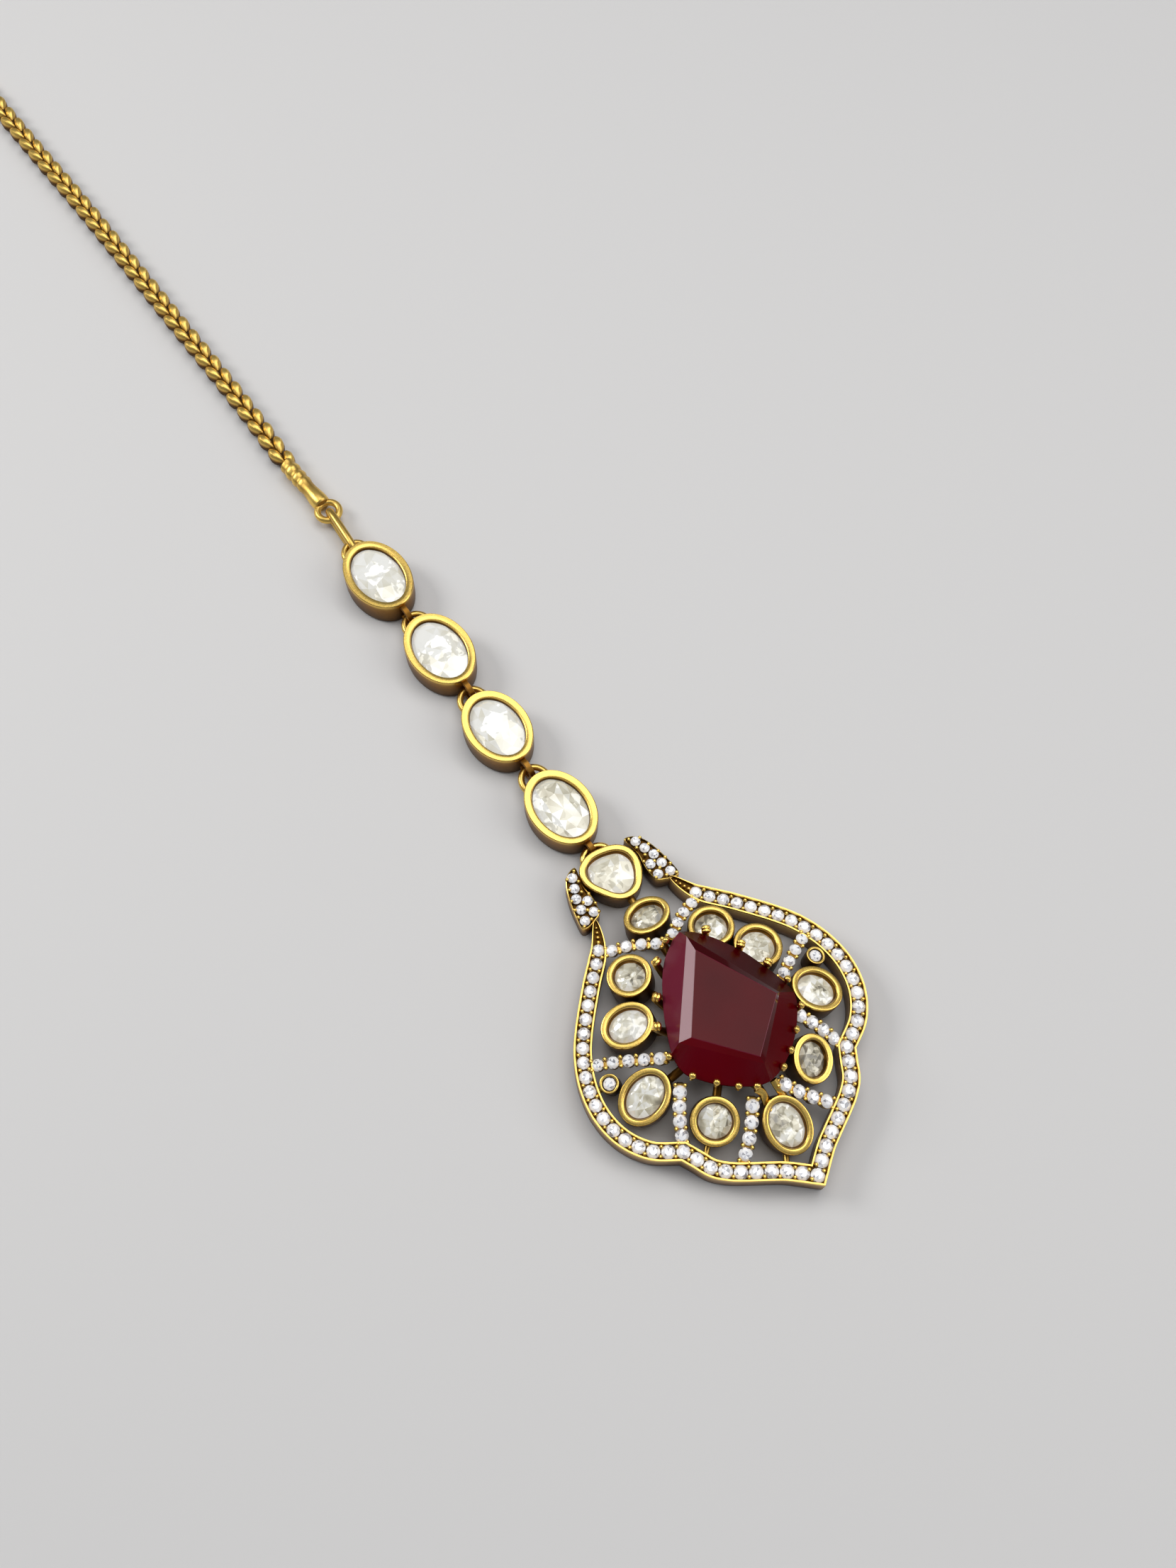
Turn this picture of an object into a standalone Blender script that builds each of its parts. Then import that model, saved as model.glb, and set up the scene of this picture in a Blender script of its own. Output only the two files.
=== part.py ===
"""Maang tikka head jewel: a stone-set pendant, four oval links, a woven chain and a hair hook.

The jewel lies face up. The pendant's mirror plane is X = 0, its tip points to -Y and the chain
runs towards +Y. The origin is the centre of the flat back plate under the big red stone.
"""
import math

import bmesh
import bpy
import numpy as np
from mathutils import Matrix, Vector

MM = 0.001

# Border of the pendant, measured along the middle of its band
BORDER_HALF_WIDTH = 14.75 * MM
BORDER_LENGTH = 33.2 * MM
BORDER_BAND = 1.88 * MM
BORDER_HEIGHT = 3.0 * MM
RAIL_WALL = 0.28 * MM
CHANNEL_DEPTH = 0.42 * MM
BORDER_TAPER = 4.2 * MM
BORDER_STEP = 1.9 * MM
PAVE_RADIUS = 0.68 * MM
PAVE_PITCH = 1.49 * MM
PAVE_RISE = 0.32 * MM
PAVE_BED = 0.45 * MM
PAVE_INSET = 0.05 * MM
PAVE_SIDES = 6

# Centre of the back plate, counted from the middle of the tip stone
SEAT_FROM_TIP = 17.2 * MM

# Middle of the border band, right half, from its upper end to the cusp and on to the tip, as
# (share of BORDER_HALF_WIDTH, share of BORDER_LENGTH)
UPPER_LOBE = ((0.312, 1.000), (0.411, 0.912), (0.592, 0.826), (0.787, 0.726), (0.901, 0.652),
              (0.976, 0.568), (1.000, 0.478), (0.958, 0.389), (0.843, 0.314), (0.665, 0.263))
LOWER_LOBE = ((0.665, 0.263), (0.616, 0.223), (0.563, 0.179), (0.488, 0.147), (0.401, 0.121),
              (0.231, 0.077), (0.144, 0.052), (0.000, 0.000))

# Curved pave bars of the right half, each by its outer end, middle and inner end in the same
# shares. They rise from the border to the basket.
PAVE_BARS = (
    ((0.335, 0.889), (0.205, 0.865), (0.070, 0.824)),
    ((0.845, 0.610), (0.692, 0.576), (0.485, 0.520)),
    ((0.620, 0.303), (0.560, 0.360), (0.470, 0.420)),
    ((0.330, 0.160), (0.222, 0.208), (0.118, 0.270)),
)
BAR_WIDTH = 1.4 * MM
BAR_DEPTH = 1.1 * MM
BAR_OUTER_TOP = 2.95 * MM
BAR_INNER_TOP = 4.7 * MM
BAR_STEPS = 4
BAR_STONE_RADIUS = 0.64 * MM

# Ring bezels: (name, x share, y share, half length and half width as shares of BEZEL_RADIUS,
# turn of the long side in degrees)
BEZEL_RADIUS = 2.5 * MM
RING_BEZELS = (
    ("stone_ring_1", 0.000, 0.923, 1.02, 0.82, 0),
    ("stone_ring_2", -0.340, 0.788, 0.94, 0.94, 0),
    ("stone_ring_3", 0.340, 0.788, 0.98, 0.98, 0),
    ("stone_ring_4", -0.540, 0.660, 1.12, 0.95, -8),
    ("stone_ring_5", 0.540, 0.660, 1.03, 1.03, 0),
    ("stone_ring_6", -0.702, 0.452, 1.22, 0.97, 20),
    ("stone_ring_7", 0.708, 0.451, 1.09, 0.95, -52),
    ("stone_ring_8", -0.394, 0.282, 0.98, 0.98, 0),
    ("stone_ring_9", 0.402, 0.282, 1.01, 0.84, 58),
    ("stone_ring_10", 0.003, 0.161, 1.20, 0.97, 86),
)
BEZEL_WALL = 0.72 * MM
BEZEL_DEPTH = 3.1 * MM
BEZEL_TOP = 4.1 * MM
BEZEL_CHAMFER = 0.16 * MM
BEZEL_LEAN = math.radians(12.0)
BEZEL_SIDES = 18
POCKET_DEPTH = 1.5 * MM

# Tiny bezels beside the upper side bars
TINY_PLACE = (0.850, 0.542)
TINY_RADIUS = 1.0 * MM
TINY_WALL = 0.3 * MM
TINY_TOP = 3.5 * MM
TINY_DEPTH = 2.3 * MM
TINY_POCKET = 0.8 * MM
TINY_SIDES = 12

# Rounded triangle bezel above the border, and the paved leaves on both sides of it
TOP_PLACE = (0.000, 1.102)
TOP_RADIUS = 3.2 * MM
TOP_HEIGHT = 3.1 * MM
TOP_CORNER = 0.06
TOP_SIDES = 21
LEAF_HEIGHT = 2.75 * MM
LEAF_OUTLINE = ((0.105, 1.165), (0.235, 1.187), (0.318, 1.147), (0.362, 1.105), (0.385, 1.055),
                (0.398, 0.998), (0.322, 0.993), (0.258, 1.010), (0.210, 1.036), (0.135, 1.060))
LEAF_STONES = ((0.268, 1.161), (0.302, 1.128), (0.332, 1.093), (0.263, 1.073), (0.338, 1.057),
               (0.275, 1.034), (0.356, 1.022))
LEAF_STONE_RADIUS = 0.6 * MM

# Big red stone: half of its girdle outline as (share of RUBY_HALF_WIDTH, share of RUBY_LENGTH),
# from the middle of its upper end to its lower corner
RUBY_HALF_WIDTH = 7.2 * MM
RUBY_LENGTH = 16.9 * MM
RUBY_SHIFT = 0.45 * MM
RUBY_LOW_CORNER = 9.45 * MM
RUBY_GIRDLE = ((0.115, 1.000), (0.360, 0.905), (0.560, 0.785), (0.830, 0.575), (0.960, 0.440),
               (1.000, 0.352), (0.950, 0.285), (0.845, 0.240), (0.500, 0.120), (0.125, 0.015))
RUBY_TABLE = ((0.055, 0.835), (0.210, 0.745), (0.330, 0.672), (0.500, 0.553), (0.600, 0.460),
              (0.648, 0.402), (0.600, 0.374), (0.525, 0.342), (0.300, 0.237), (0.055, 0.130))
RUBY_STEP = 0.16
RUBY_GIRDLE_HEIGHT = 6.3 * MM
RUBY_TOTAL_HEIGHT = 9.6 * MM
RUBY_GIRDLE_WALL = 0.3 * MM
RUBY_BEVEL = 0.55 * MM
RUBY_BACK_HEIGHT = 2.9 * MM
RUBY_BACK_SHARE = 0.62

# Basket that carries the red stone
BASKET_FLOOR = 2.6 * MM
BASKET_FOOT_SHARE = 0.60
BASKET_WALL = 0.6 * MM
BASKET_RIM_DROP = 0.55 * MM
PRONG_RADIUS = 0.24 * MM
PRONG_BALL = 0.42 * MM
PRONG_FOOT = 1.0 * MM
PRONG_STAND = 0.44 * MM
PRONG_OVER = 0.55 * MM
PRONG_SHARES = (0.000, 0.100, 0.260, 0.390, 0.540, 0.690, 0.785, 0.880, 0.965)

# Spokes under the bezels, the two bars at the lower end of the basket
SPOKE_RADIUS = 0.45 * MM
SPOKE_HEIGHT = 1.95 * MM
STAY_RADIUS = 0.3 * MM

# Oval links
OVAL_HALF_LENGTH = 4.65 * MM
OVAL_HALF_WIDTH = 3.45 * MM
OVAL_HEIGHT = 3.2 * MM
OVAL_WALL = 0.8 * MM
OVAL_SIDES = 20
OVAL_POCKET = 1.5 * MM
LINK_GAP = 2.65 * MM
TOP_LINK_GAP = 1.7 * MM
LINK_HEADINGS = (95.0, 94.4, 94.0, 94.8)
TOP_LOOP_SHIFT = -0.45 * MM
LOOP_WIRE = 0.25 * MM
LOOP_HALF_WIDTH = 1.2 * MM
LOOP_HEIGHT = 1.5 * MM
LOOP_REACH_SHARE = 0.60
TONGUE_WIRE = 0.18 * MM
TONGUE_WIDTH = 0.42 * MM
TONGUE_REACH_SHARE = 0.78

# Clear stones in their pockets
SEAT_GAP = 0.22 * MM
STONE_SINK = 0.12 * MM
STONE_THICK = 1.05 * MM
STONE_TABLE_SHARE = 0.55
STONE_SIDES = 12

# Jump link, end cap, chain and hook
JUMP_WIRE = 0.28 * MM
JUMP_HALF_HEIGHT = 0.92 * MM
CAP_RING_RADIUS = 1.27 * MM
CAP_RING_WIRE = 0.32 * MM
CAP_RING_FROM_LINK = 6.95 * MM
CAP_HEADING = 99.0
CAP_LENGTH = 9.3 * MM
CAP_RADIUS = 1.1 * MM
CAP_SIDES = 10
CAP_SECTIONS = ((0.13, 0.40), (0.20, 0.68), (0.30, 0.90), (0.44, 0.90), (0.49, 0.80), (0.54, 1.00),
                (0.60, 0.84), (0.68, 1.00), (0.75, 0.86), (0.83, 1.00), (0.92, 0.92), (1.00, 0.76))
CHAIN_GAP = 0.25 * MM
CHAIN_ROUTE = ((-6.1, 103.3), (-6.7, 110.0), (-7.0, 123.3), (-8.4, 142.2), (-9.9, 159.5),
               (-11.5, 174.4), (-12.2, 181.0))
CHAIN_PITCH = 2.52 * MM
CHAIN_ROW_OFFSET = 0.5 * MM
GRAIN_HALF_LENGTH = 1.26 * MM
GRAIN_HALF_WIDTH = 0.52 * MM
GRAIN_HALF_HEIGHT = 0.95 * MM
GRAIN_TURN = math.radians(11.0)
GRAIN_SIDES = 6
GRAIN_STATIONS = ((-0.97, 0.42), (0.0, 1.0), (0.97, 0.42))
CORE_RADIUS = 0.42 * MM
END_RING_RADIUS = 1.15 * MM
END_RING_WIRE = 0.26 * MM
HOOK_WIRE = 0.4 * MM
HOOK_EYE_RADIUS = 0.9 * MM
HOOK_EYE_WIRE = 0.28 * MM
HOOK_LENGTH = 13.0 * MM
HOOK_BEND_RADIUS = 1.9 * MM
HOOK_RETURN = 6.0 * MM
WIRE_SIDES = 6


def clear_scene():
    """Remove the objects that are in the scene."""
    for old in list(bpy.data.objects):
        bpy.data.objects.remove(old, do_unlink=True)


def material(name, colour, roughness, metallic):
    """A Principled material with one colour, roughness and metallic value."""
    made = bpy.data.materials.new(name)
    made.use_nodes = True
    shader = made.node_tree.nodes["Principled BSDF"]
    shader.inputs["Base Color"].default_value = (*colour, 1.0)
    shader.inputs["Roughness"].default_value = roughness
    shader.inputs["Metallic"].default_value = metallic
    made.diffuse_color = (*colour, 1.0)
    return made


def place(share):
    """Point of the pendant, from shares of the border's half width and length."""
    return np.array([share[0] * BORDER_HALF_WIDTH, share[1] * BORDER_LENGTH - SEAT_FROM_TIP])


def smooth_line(points, step):
    """Even points, about a step apart, on a Catmull-Rom curve through the given points."""
    knots = np.array(points, float)
    ends = np.vstack([2 * knots[0] - knots[1], knots, 2 * knots[-1] - knots[-2]])
    share = np.linspace(0, 1, 16, endpoint=False)[:, None]
    dense = []
    for a, b, c, d in zip(ends, ends[1:], ends[2:], ends[3:]):
        dense.append(0.5 * (2 * b + (c - a) * share + (2 * a - 5 * b + 4 * c - d) * share ** 2
                            + (3 * b - a - 3 * c + d) * share ** 3))
    dense = np.vstack(dense + [knots[-1:]])
    return even_points(dense, max(2, round(line_length(dense) / step) + 1))


def line_length(line):
    """Length of a polyline."""
    return float(np.linalg.norm(np.diff(line, axis=0), axis=1).sum())


def even_points(line, count):
    """A polyline's points, respaced evenly."""
    along = np.concatenate([[0], np.cumsum(np.linalg.norm(np.diff(line, axis=0), axis=1))])
    wanted = np.linspace(0, along[-1], count)
    return np.column_stack([np.interp(wanted, along, line[:, i]) for i in range(line.shape[1])])


def left_normals(line):
    """Unit normals on the left of a plane polyline."""
    run = np.gradient(line, axis=0)
    run /= np.linalg.norm(run, axis=1)[:, None]
    return np.column_stack([-run[:, 1], run[:, 0]])


def lengthened(line, amount, start, end):
    """A polyline with a straight piece added at its start, its end or both."""
    first = line[0] + (line[0] - line[1]) / np.linalg.norm(line[0] - line[1]) * amount
    last = line[-1] + (line[-1] - line[-2]) / np.linalg.norm(line[-1] - line[-2]) * amount
    parts = [first[None]] * start + [line] + [last[None]] * end
    return np.vstack(parts)


def crossing(line_a, line_b):
    """Where two plane polylines cross first: index in a, index in b and the point."""
    for i in range(len(line_a) - 1):
        p, r = line_a[i], line_a[i + 1] - line_a[i]
        for j in range(len(line_b) - 1):
            q, s = line_b[j], line_b[j + 1] - line_b[j]
            cross = r[0] * s[1] - r[1] * s[0]
            if abs(cross) < 1e-18:
                continue
            t = ((q[0] - p[0]) * s[1] - (q[1] - p[1]) * s[0]) / cross
            u = ((q[0] - p[0]) * r[1] - (q[1] - p[1]) * r[0]) / cross
            if 0 <= t <= 1 and 0 <= u <= 1:
                return i, j, p + t * r
    raise ValueError("the lines do not cross")


def border_lines():
    """Middle lines of the right half's upper and lower lobe."""
    upper = smooth_line([place(p) for p in UPPER_LOBE], BORDER_STEP)
    lower = smooth_line([place(p) for p in LOWER_LOBE], BORDER_STEP)
    return upper, lower


def border_edge(distance, trim=0.0):
    """Right half of a line that runs beside the band's middle, from the upper end to the tip.

    The line stands off by the distance, outwards where it is positive. It closes in on the
    middle near the upper end, where the band runs out to a point, by the trim more.
    """
    upper, lower = border_lines()
    along = np.concatenate([[0], np.cumsum(np.linalg.norm(np.diff(upper, axis=0), axis=1))])
    full = np.sqrt(np.clip(along / BORDER_TAPER, 0.0, 1.0))
    half_band = BORDER_BAND / 2
    reach = np.clip(half_band * np.clip(full, 0.12, 1) - trim, 0.04 * half_band, abs(distance))
    upper_side = upper + left_normals(upper) * (reach * np.sign(distance))[:, None]
    lower_side = lower + left_normals(lower) * distance
    upper_side = lengthened(upper_side, BORDER_BAND, 0, 1)
    lower_side = lengthened(lower_side, BORDER_BAND, 1, 1)
    i, j, corner = crossing(upper_side[::-1], lower_side)
    i = len(upper_side) - 2 - i
    half = np.vstack([upper_side[:i + 1], corner, lower_side[j + 1:]])
    axis = np.array([[0.0, -BORDER_LENGTH], [0.0, BORDER_LENGTH]])
    i, _, tip = crossing(half, axis)
    return np.vstack([half[:i + 1], tip])


def band_outline(outer, inner):
    """Closed outline of the whole band between two right-half edges."""
    mirror = np.array([-1.0, 1.0])
    outer_line = np.vstack([outer, (outer * mirror)[-2::-1]])
    inner_line = np.vstack([inner, (inner * mirror)[-2::-1]])
    return np.vstack([outer_line, inner_line[::-1]])


def signed_area(outline):
    """Area of a plane outline, positive when it runs anticlockwise."""
    x, y = outline[:, 0], outline[:, 1]
    return 0.5 * float(np.sum(x * np.roll(y, -1) - y * np.roll(x, -1)))


def add_loft(bm, rings, turn=Matrix.Identity(4)):
    """Add a closed body through rings of equal count that run anticlockwise seen from its end."""
    rows = [[bm.verts.new(turn @ Vector(p)) for p in ring] for ring in rings]
    bm.faces.new(rows[0][::-1])
    bm.faces.new(rows[-1])
    for low, high in zip(rows, rows[1:]):
        for k in range(len(low)):
            n = (k + 1) % len(low)
            bm.faces.new((low[k], low[n], high[n], high[k]))


def flat_ring(outline, height):
    """A plane outline lifted to a height."""
    return np.column_stack([outline, np.full(len(outline), height)])


def add_prism(bm, outline, low, high):
    """Add an upright prism on a plane outline."""
    if signed_area(outline) < 0:
        outline = outline[::-1]
    add_loft(bm, [flat_ring(outline, low), flat_ring(outline, high)])


def ellipse(half_length, half_width, sides):
    """Points of an ellipse round the origin."""
    angle = np.arange(sides) * 2 * math.pi / sides
    return np.column_stack([half_length * np.cos(angle), half_width * np.sin(angle)])


def rounded_triangle(radius, sides):
    """Outline of the top bezel: a circle drawn out to three corners, one of them pointing down."""
    angle = np.arange(sides) * 2 * math.pi / sides - math.pi / 2
    reach = radius * (1 + TOP_CORNER * np.cos(3 * (angle + math.pi / 2)))
    return np.column_stack([reach * np.cos(angle), reach * np.sin(angle)])


def add_tube(bm, path, half_side, half_up, sides, closed=False, normal=None):
    """Add a tube along a path. half_up is half its section's height along the normal.

    Without a normal the tube takes that of its path's plane, or the upright one where it is
    straight. Four sides give a square section with the given halves.
    """
    path = np.array(path, float)
    if closed:
        run = np.roll(path, -1, axis=0) - np.roll(path, 1, axis=0)
    else:
        run = np.gradient(path, axis=0)
    run /= np.linalg.norm(run, axis=1)[:, None]
    if normal is None:
        normal = np.cross(run[0], run[len(run) // 3])
    if np.linalg.norm(normal) < 0.01:
        normal = (0.0, 0.0, 1.0) if abs(run[0, 2]) < 0.9 else (1.0, 0.0, 0.0)
    normal = np.array(normal) / np.linalg.norm(normal)
    side = np.cross(normal, run)
    side /= np.linalg.norm(side, axis=1)[:, None]
    up = np.cross(run, side)
    angle = (np.arange(sides) + 0.5) * 2 * math.pi / sides
    if sides == 4:
        half_side, half_up = half_side * math.sqrt(2), half_up * math.sqrt(2)
    rings = (path[:, None] + side[:, None] * (half_side * np.cos(angle))[None, :, None]
             + up[:, None] * (half_up * np.sin(angle))[None, :, None])
    rows = [[bm.verts.new(p) for p in ring] for ring in rings]
    pairs = list(zip(rows, rows[1:]))
    if closed:
        pairs.append((rows[-1], rows[0]))
    else:
        bm.faces.new(rows[0][::-1])
        bm.faces.new(rows[-1])
    for low, high in pairs:
        for k in range(sides):
            n = (k + 1) % sides
            bm.faces.new((low[k], low[n], high[n], high[k]))


def add_stone(bm, centre, radius, turn=0.0):
    """Add a small cut stone with a table. The centre is on the metal its bed reaches into."""
    circle = ellipse(radius, radius, PAVE_SIDES)
    turned = np.array([[math.cos(turn), math.sin(turn)], [-math.sin(turn), math.cos(turn)]])
    centre = np.array(centre)
    rings = [flat_ring(circle @ turned * share, height) + centre
             for share, height in ((0.90, -PAVE_BED), (1.0, -PAVE_INSET), (0.58, PAVE_RISE))]
    add_loft(bm, rings)


def body(name, bm, metal, location=(0, 0, 0), heading=0.0):
    """Make an object from a mesh in work."""
    bmesh.ops.recalc_face_normals(bm, faces=bm.faces)
    mesh = bpy.data.meshes.new(name)
    bm.to_mesh(mesh)
    bm.free()
    mesh.materials.append(metal)
    made = bpy.data.objects.new(name, mesh)
    made.location = location
    made.rotation_euler = (0, 0, heading)
    bpy.context.scene.collection.objects.link(made)
    return made


def boolean(target, operation, tool, own_parts):
    """Join a tool to the target or cut it away. own_parts also joins the target's own bodies."""
    cut = target.modifiers.new(operation.lower(), "BOOLEAN")
    cut.operation = operation
    cut.solver = "EXACT"
    cut.use_self = own_parts
    cut.object = tool
    tool.hide_render = True
    tool.display_type = "WIRE"


def bezel_frame(x_share, y_share, top, turn, lean):
    """Matrix of a bezel: origin in the middle of its top, Z leaning away from the red stone."""
    x, y = place((x_share, y_share))
    away = Vector((x - RUBY_SHIFT, y, 0.0)).normalized()
    tilt = Matrix.Rotation(lean, 4, Vector((-away.y, away.x, 0.0)))
    return Matrix.Translation((x, y, top)) @ tilt @ Matrix.Rotation(math.radians(turn), 4, "Z")


def ring_bezels():
    """The ring bezels' names, frames, half lengths and half widths."""
    for name, x, y, length, width, turn in RING_BEZELS:
        frame = bezel_frame(x, y, BEZEL_TOP, turn, BEZEL_LEAN)
        yield name, frame, length * BEZEL_RADIUS, width * BEZEL_RADIUS


def tiny_bezels():
    """The two tiny bezels' names and frames."""
    for name, side in (("stone_tiny_left", -1), ("stone_tiny_right", 1)):
        yield name, bezel_frame(side * TINY_PLACE[0], TINY_PLACE[1], TINY_TOP, 0, BEZEL_LEAN)


def add_cup(bm, frame, outline_at, depth, chamfer, turn_count=0):
    """Add a bezel's plug with a chamfered top edge. outline_at gives its outline at an inset."""
    rings = [flat_ring(outline_at(0.0), -depth), flat_ring(outline_at(0.0), -chamfer),
             flat_ring(outline_at(chamfer), 0.0)]
    add_loft(bm, rings, frame)


def ruby_line(table, grow=0.0):
    """Closed outline of the red stone from a table of half-outline shares, widened by grow."""
    half = np.array([(x * RUBY_HALF_WIDTH, y * RUBY_LENGTH) for x, y in table])
    whole = np.vstack([half, (half * [-1, 1])[::-1]])[::-1]
    middle = np.array([0.0, RUBY_LENGTH * 0.42])
    if grow:
        ahead = np.roll(whole, -1, axis=0) - whole
        behind = whole - np.roll(whole, 1, axis=0)
        ahead /= np.linalg.norm(ahead, axis=1)[:, None]
        behind /= np.linalg.norm(behind, axis=1)[:, None]
        run = ahead + behind
        run /= np.linalg.norm(run, axis=1)[:, None]
        out = np.column_stack([run[:, 1], -run[:, 0]])
        whole = whole + out * grow
    low = RUBY_LOW_CORNER - SEAT_FROM_TIP
    return whole + [RUBY_SHIFT, low], middle + [RUBY_SHIFT, low]


def scaled(outline, middle, share):
    """A plane outline scaled about a point."""
    return middle + (outline - middle) * share


def ruby_rings(grow=0.0, back=RUBY_BACK_HEIGHT):
    """Rings of the red stone's pavilion, from its flat back to its girdle."""
    girdle, middle = ruby_line(RUBY_GIRDLE, grow)
    foot = RUBY_GIRDLE_HEIGHT - RUBY_GIRDLE_WALL
    return girdle, [flat_ring(scaled(girdle, middle, RUBY_BACK_SHARE), back),
                    flat_ring(girdle, foot)]


def build_ruby(metal):
    """Step-cut kite: pavilion, girdle, crown step, narrow bevel and table."""
    girdle, rings = ruby_rings()
    table, _ = ruby_line(RUBY_TABLE)
    bevel = table + (girdle - table) * RUBY_STEP
    rings += [flat_ring(girdle, RUBY_GIRDLE_HEIGHT),
              flat_ring(bevel, RUBY_TOTAL_HEIGHT - RUBY_BEVEL),
              flat_ring(table, RUBY_TOTAL_HEIGHT)]
    bm = bmesh.new()
    add_loft(bm, rings)
    return body("ruby", bm, metal)


def add_basket(bm):
    """Add the basket's tapered body, its ball prongs and the two stays at its lower end."""
    girdle, middle = ruby_line(RUBY_GIRDLE)
    rim_height = RUBY_GIRDLE_HEIGHT - RUBY_GIRDLE_WALL - BASKET_RIM_DROP
    rise = (rim_height - RUBY_BACK_HEIGHT) / (RUBY_GIRDLE_HEIGHT - RUBY_GIRDLE_WALL - RUBY_BACK_HEIGHT)
    rim_share = RUBY_BACK_SHARE + (1 - RUBY_BACK_SHARE) * rise
    rim, _ = ruby_line(RUBY_GIRDLE, BASKET_WALL + SEAT_GAP)
    rim = scaled(rim, middle, rim_share)
    foot = scaled(rim, middle, BASKET_FOOT_SHARE / rim_share)
    add_loft(bm, [flat_ring(foot, 0.0), flat_ring(rim, rim_height)])
    stand, _ = ruby_line(RUBY_GIRDLE, PRONG_STAND)
    half = len(stand) // 2
    top = RUBY_GIRDLE_HEIGHT + PRONG_OVER
    for line in (stand[:half], stand[:half - 1:-1]):
        dense = even_points(line, 201)
        for share in PRONG_SHARES:
            head = dense[round(share * 200)]
            root = scaled(head, middle, BASKET_FOOT_SHARE)
            path = [(*root, PRONG_FOOT), (*head, RUBY_GIRDLE_HEIGHT - RUBY_GIRDLE_WALL), (*head, top)]
            add_tube(bm, path, PRONG_RADIUS, PRONG_RADIUS, WIRE_SIDES)
            ball = bmesh.ops.create_icosphere(bm, subdivisions=1, radius=PRONG_BALL)
            bmesh.ops.translate(bm, verts=ball["verts"], vec=(*head, top))


def bar_line(bar, side):
    """Top middle line of a pave bar, rising from its outer end to its inner end."""
    flat = smooth_line([place(p) * [side, 1] for p in bar], BORDER_STEP / 4)
    flat = even_points(flat, BAR_STEPS + 1)
    height = np.linspace(BAR_OUTER_TOP, BAR_INNER_TOP, len(flat))
    return np.column_stack([flat, height])


def add_bar(bm, bar, side):
    """Add one curved bar with its row of stones."""
    line = bar_line(bar, side)
    body_line = lengthened(line, PAVE_PITCH / 2, 1, 1)
    body_line[:, 2] -= BAR_DEPTH / 2
    add_tube(bm, body_line, BAR_WIDTH / 2, BAR_DEPTH / 2, 4, normal=(0, 0, 1))
    count = round(line_length(line) / (PAVE_PITCH * 0.94)) + 1
    for k, spot in enumerate(even_points(line, count)):
        add_stone(bm, spot, BAR_STONE_RADIUS, k)


def border_stones():
    """Middle of each border stone in plan, right half with the cusp and the tip stone."""
    upper, lower = border_lines()
    start = BORDER_TAPER * 0.72
    run = line_length(upper) - start
    count = round(run / PAVE_PITCH)
    dense = even_points(upper, 400)
    first = int(round(start / line_length(upper) * 399))
    upper_spots = even_points(dense[first:], count + 1)
    lower_spots = even_points(lower, round(line_length(lower) / PAVE_PITCH) + 1)
    return np.vstack([upper_spots, lower_spots[1:]])


def add_border(bm):
    """Add the border band without its channel."""
    half = BORDER_BAND / 2
    outer, inner = border_edge(half), border_edge(-half)
    add_prism(bm, band_outline(outer, inner), 0.0, BORDER_HEIGHT)


def channel_tool(metal):
    """Cutter for the channel between the border's two rails."""
    reach = BORDER_BAND / 2 - RAIL_WALL
    outline = band_outline(border_edge(reach, RAIL_WALL), border_edge(-reach, RAIL_WALL))
    bm = bmesh.new()
    add_prism(bm, outline, BORDER_HEIGHT - CHANNEL_DEPTH, 2 * BORDER_HEIGHT)
    return body("channel_cutter", bm, metal)


def add_border_stones(bm):
    """Add the stones in the border's channel."""
    height = BORDER_HEIGHT - CHANNEL_DEPTH
    spots = border_stones()
    for side in (-1, 1):
        for k, (x, y) in enumerate(spots[:-1]):
            add_stone(bm, (side * x, y, height), PAVE_RADIUS, k)
    add_stone(bm, (0.0, spots[-1][1], height), PAVE_RADIUS)


def add_leaves(bm):
    """Add the paved leaves beside the top bezel."""
    for side in (-1, 1):
        outline = np.array([place(p) * [side, 1] for p in LEAF_OUTLINE])
        add_prism(bm, outline, BORDER_HEIGHT * 0.2, LEAF_HEIGHT)
        for k, spot in enumerate(LEAF_STONES):
            x, y = place(spot) * [side, 1]
            add_stone(bm, (x, y, LEAF_HEIGHT), LEAF_STONE_RADIUS, k)


def add_spokes(bm):
    """Add the bars under the bezels, from the basket to the border and up to the top bezel."""
    seat = np.array([RUBY_SHIFT, 0.0])
    upper, lower = border_lines()
    band = np.vstack([upper, lower])
    band = np.vstack([band, band * [-1, 1]])
    spots = [place((x, y)) for _, x, y, *_ in RING_BEZELS]
    for spot in spots:
        toward = (spot - seat) / np.linalg.norm(spot - seat)
        gap = np.linalg.norm(band - spot, axis=1) - BORDER_BAND * ((band - spot) @ toward > 0)
        end = band[int(np.argmin(gap))] if abs(spot[0]) > BEZEL_RADIUS or spot[1] < 0 else place(TOP_PLACE)
        for start, stop in ((seat + (spot - seat) * 0.35, spot), (spot, end)):
            add_tube(bm, [(*start, SPOKE_HEIGHT), (*stop, SPOKE_HEIGHT)], SPOKE_RADIUS,
                     SPOKE_RADIUS, WIRE_SIDES)
    for side in (-1, 1):
        tiny = place(TINY_PLACE) * [side, 1]
        end = band[int(np.argmin(np.linalg.norm(band - tiny, axis=1)))]
        add_tube(bm, [(*tiny, SPOKE_HEIGHT), (*end, SPOKE_HEIGHT)], STAY_RADIUS, STAY_RADIUS,
                 WIRE_SIDES)


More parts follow.
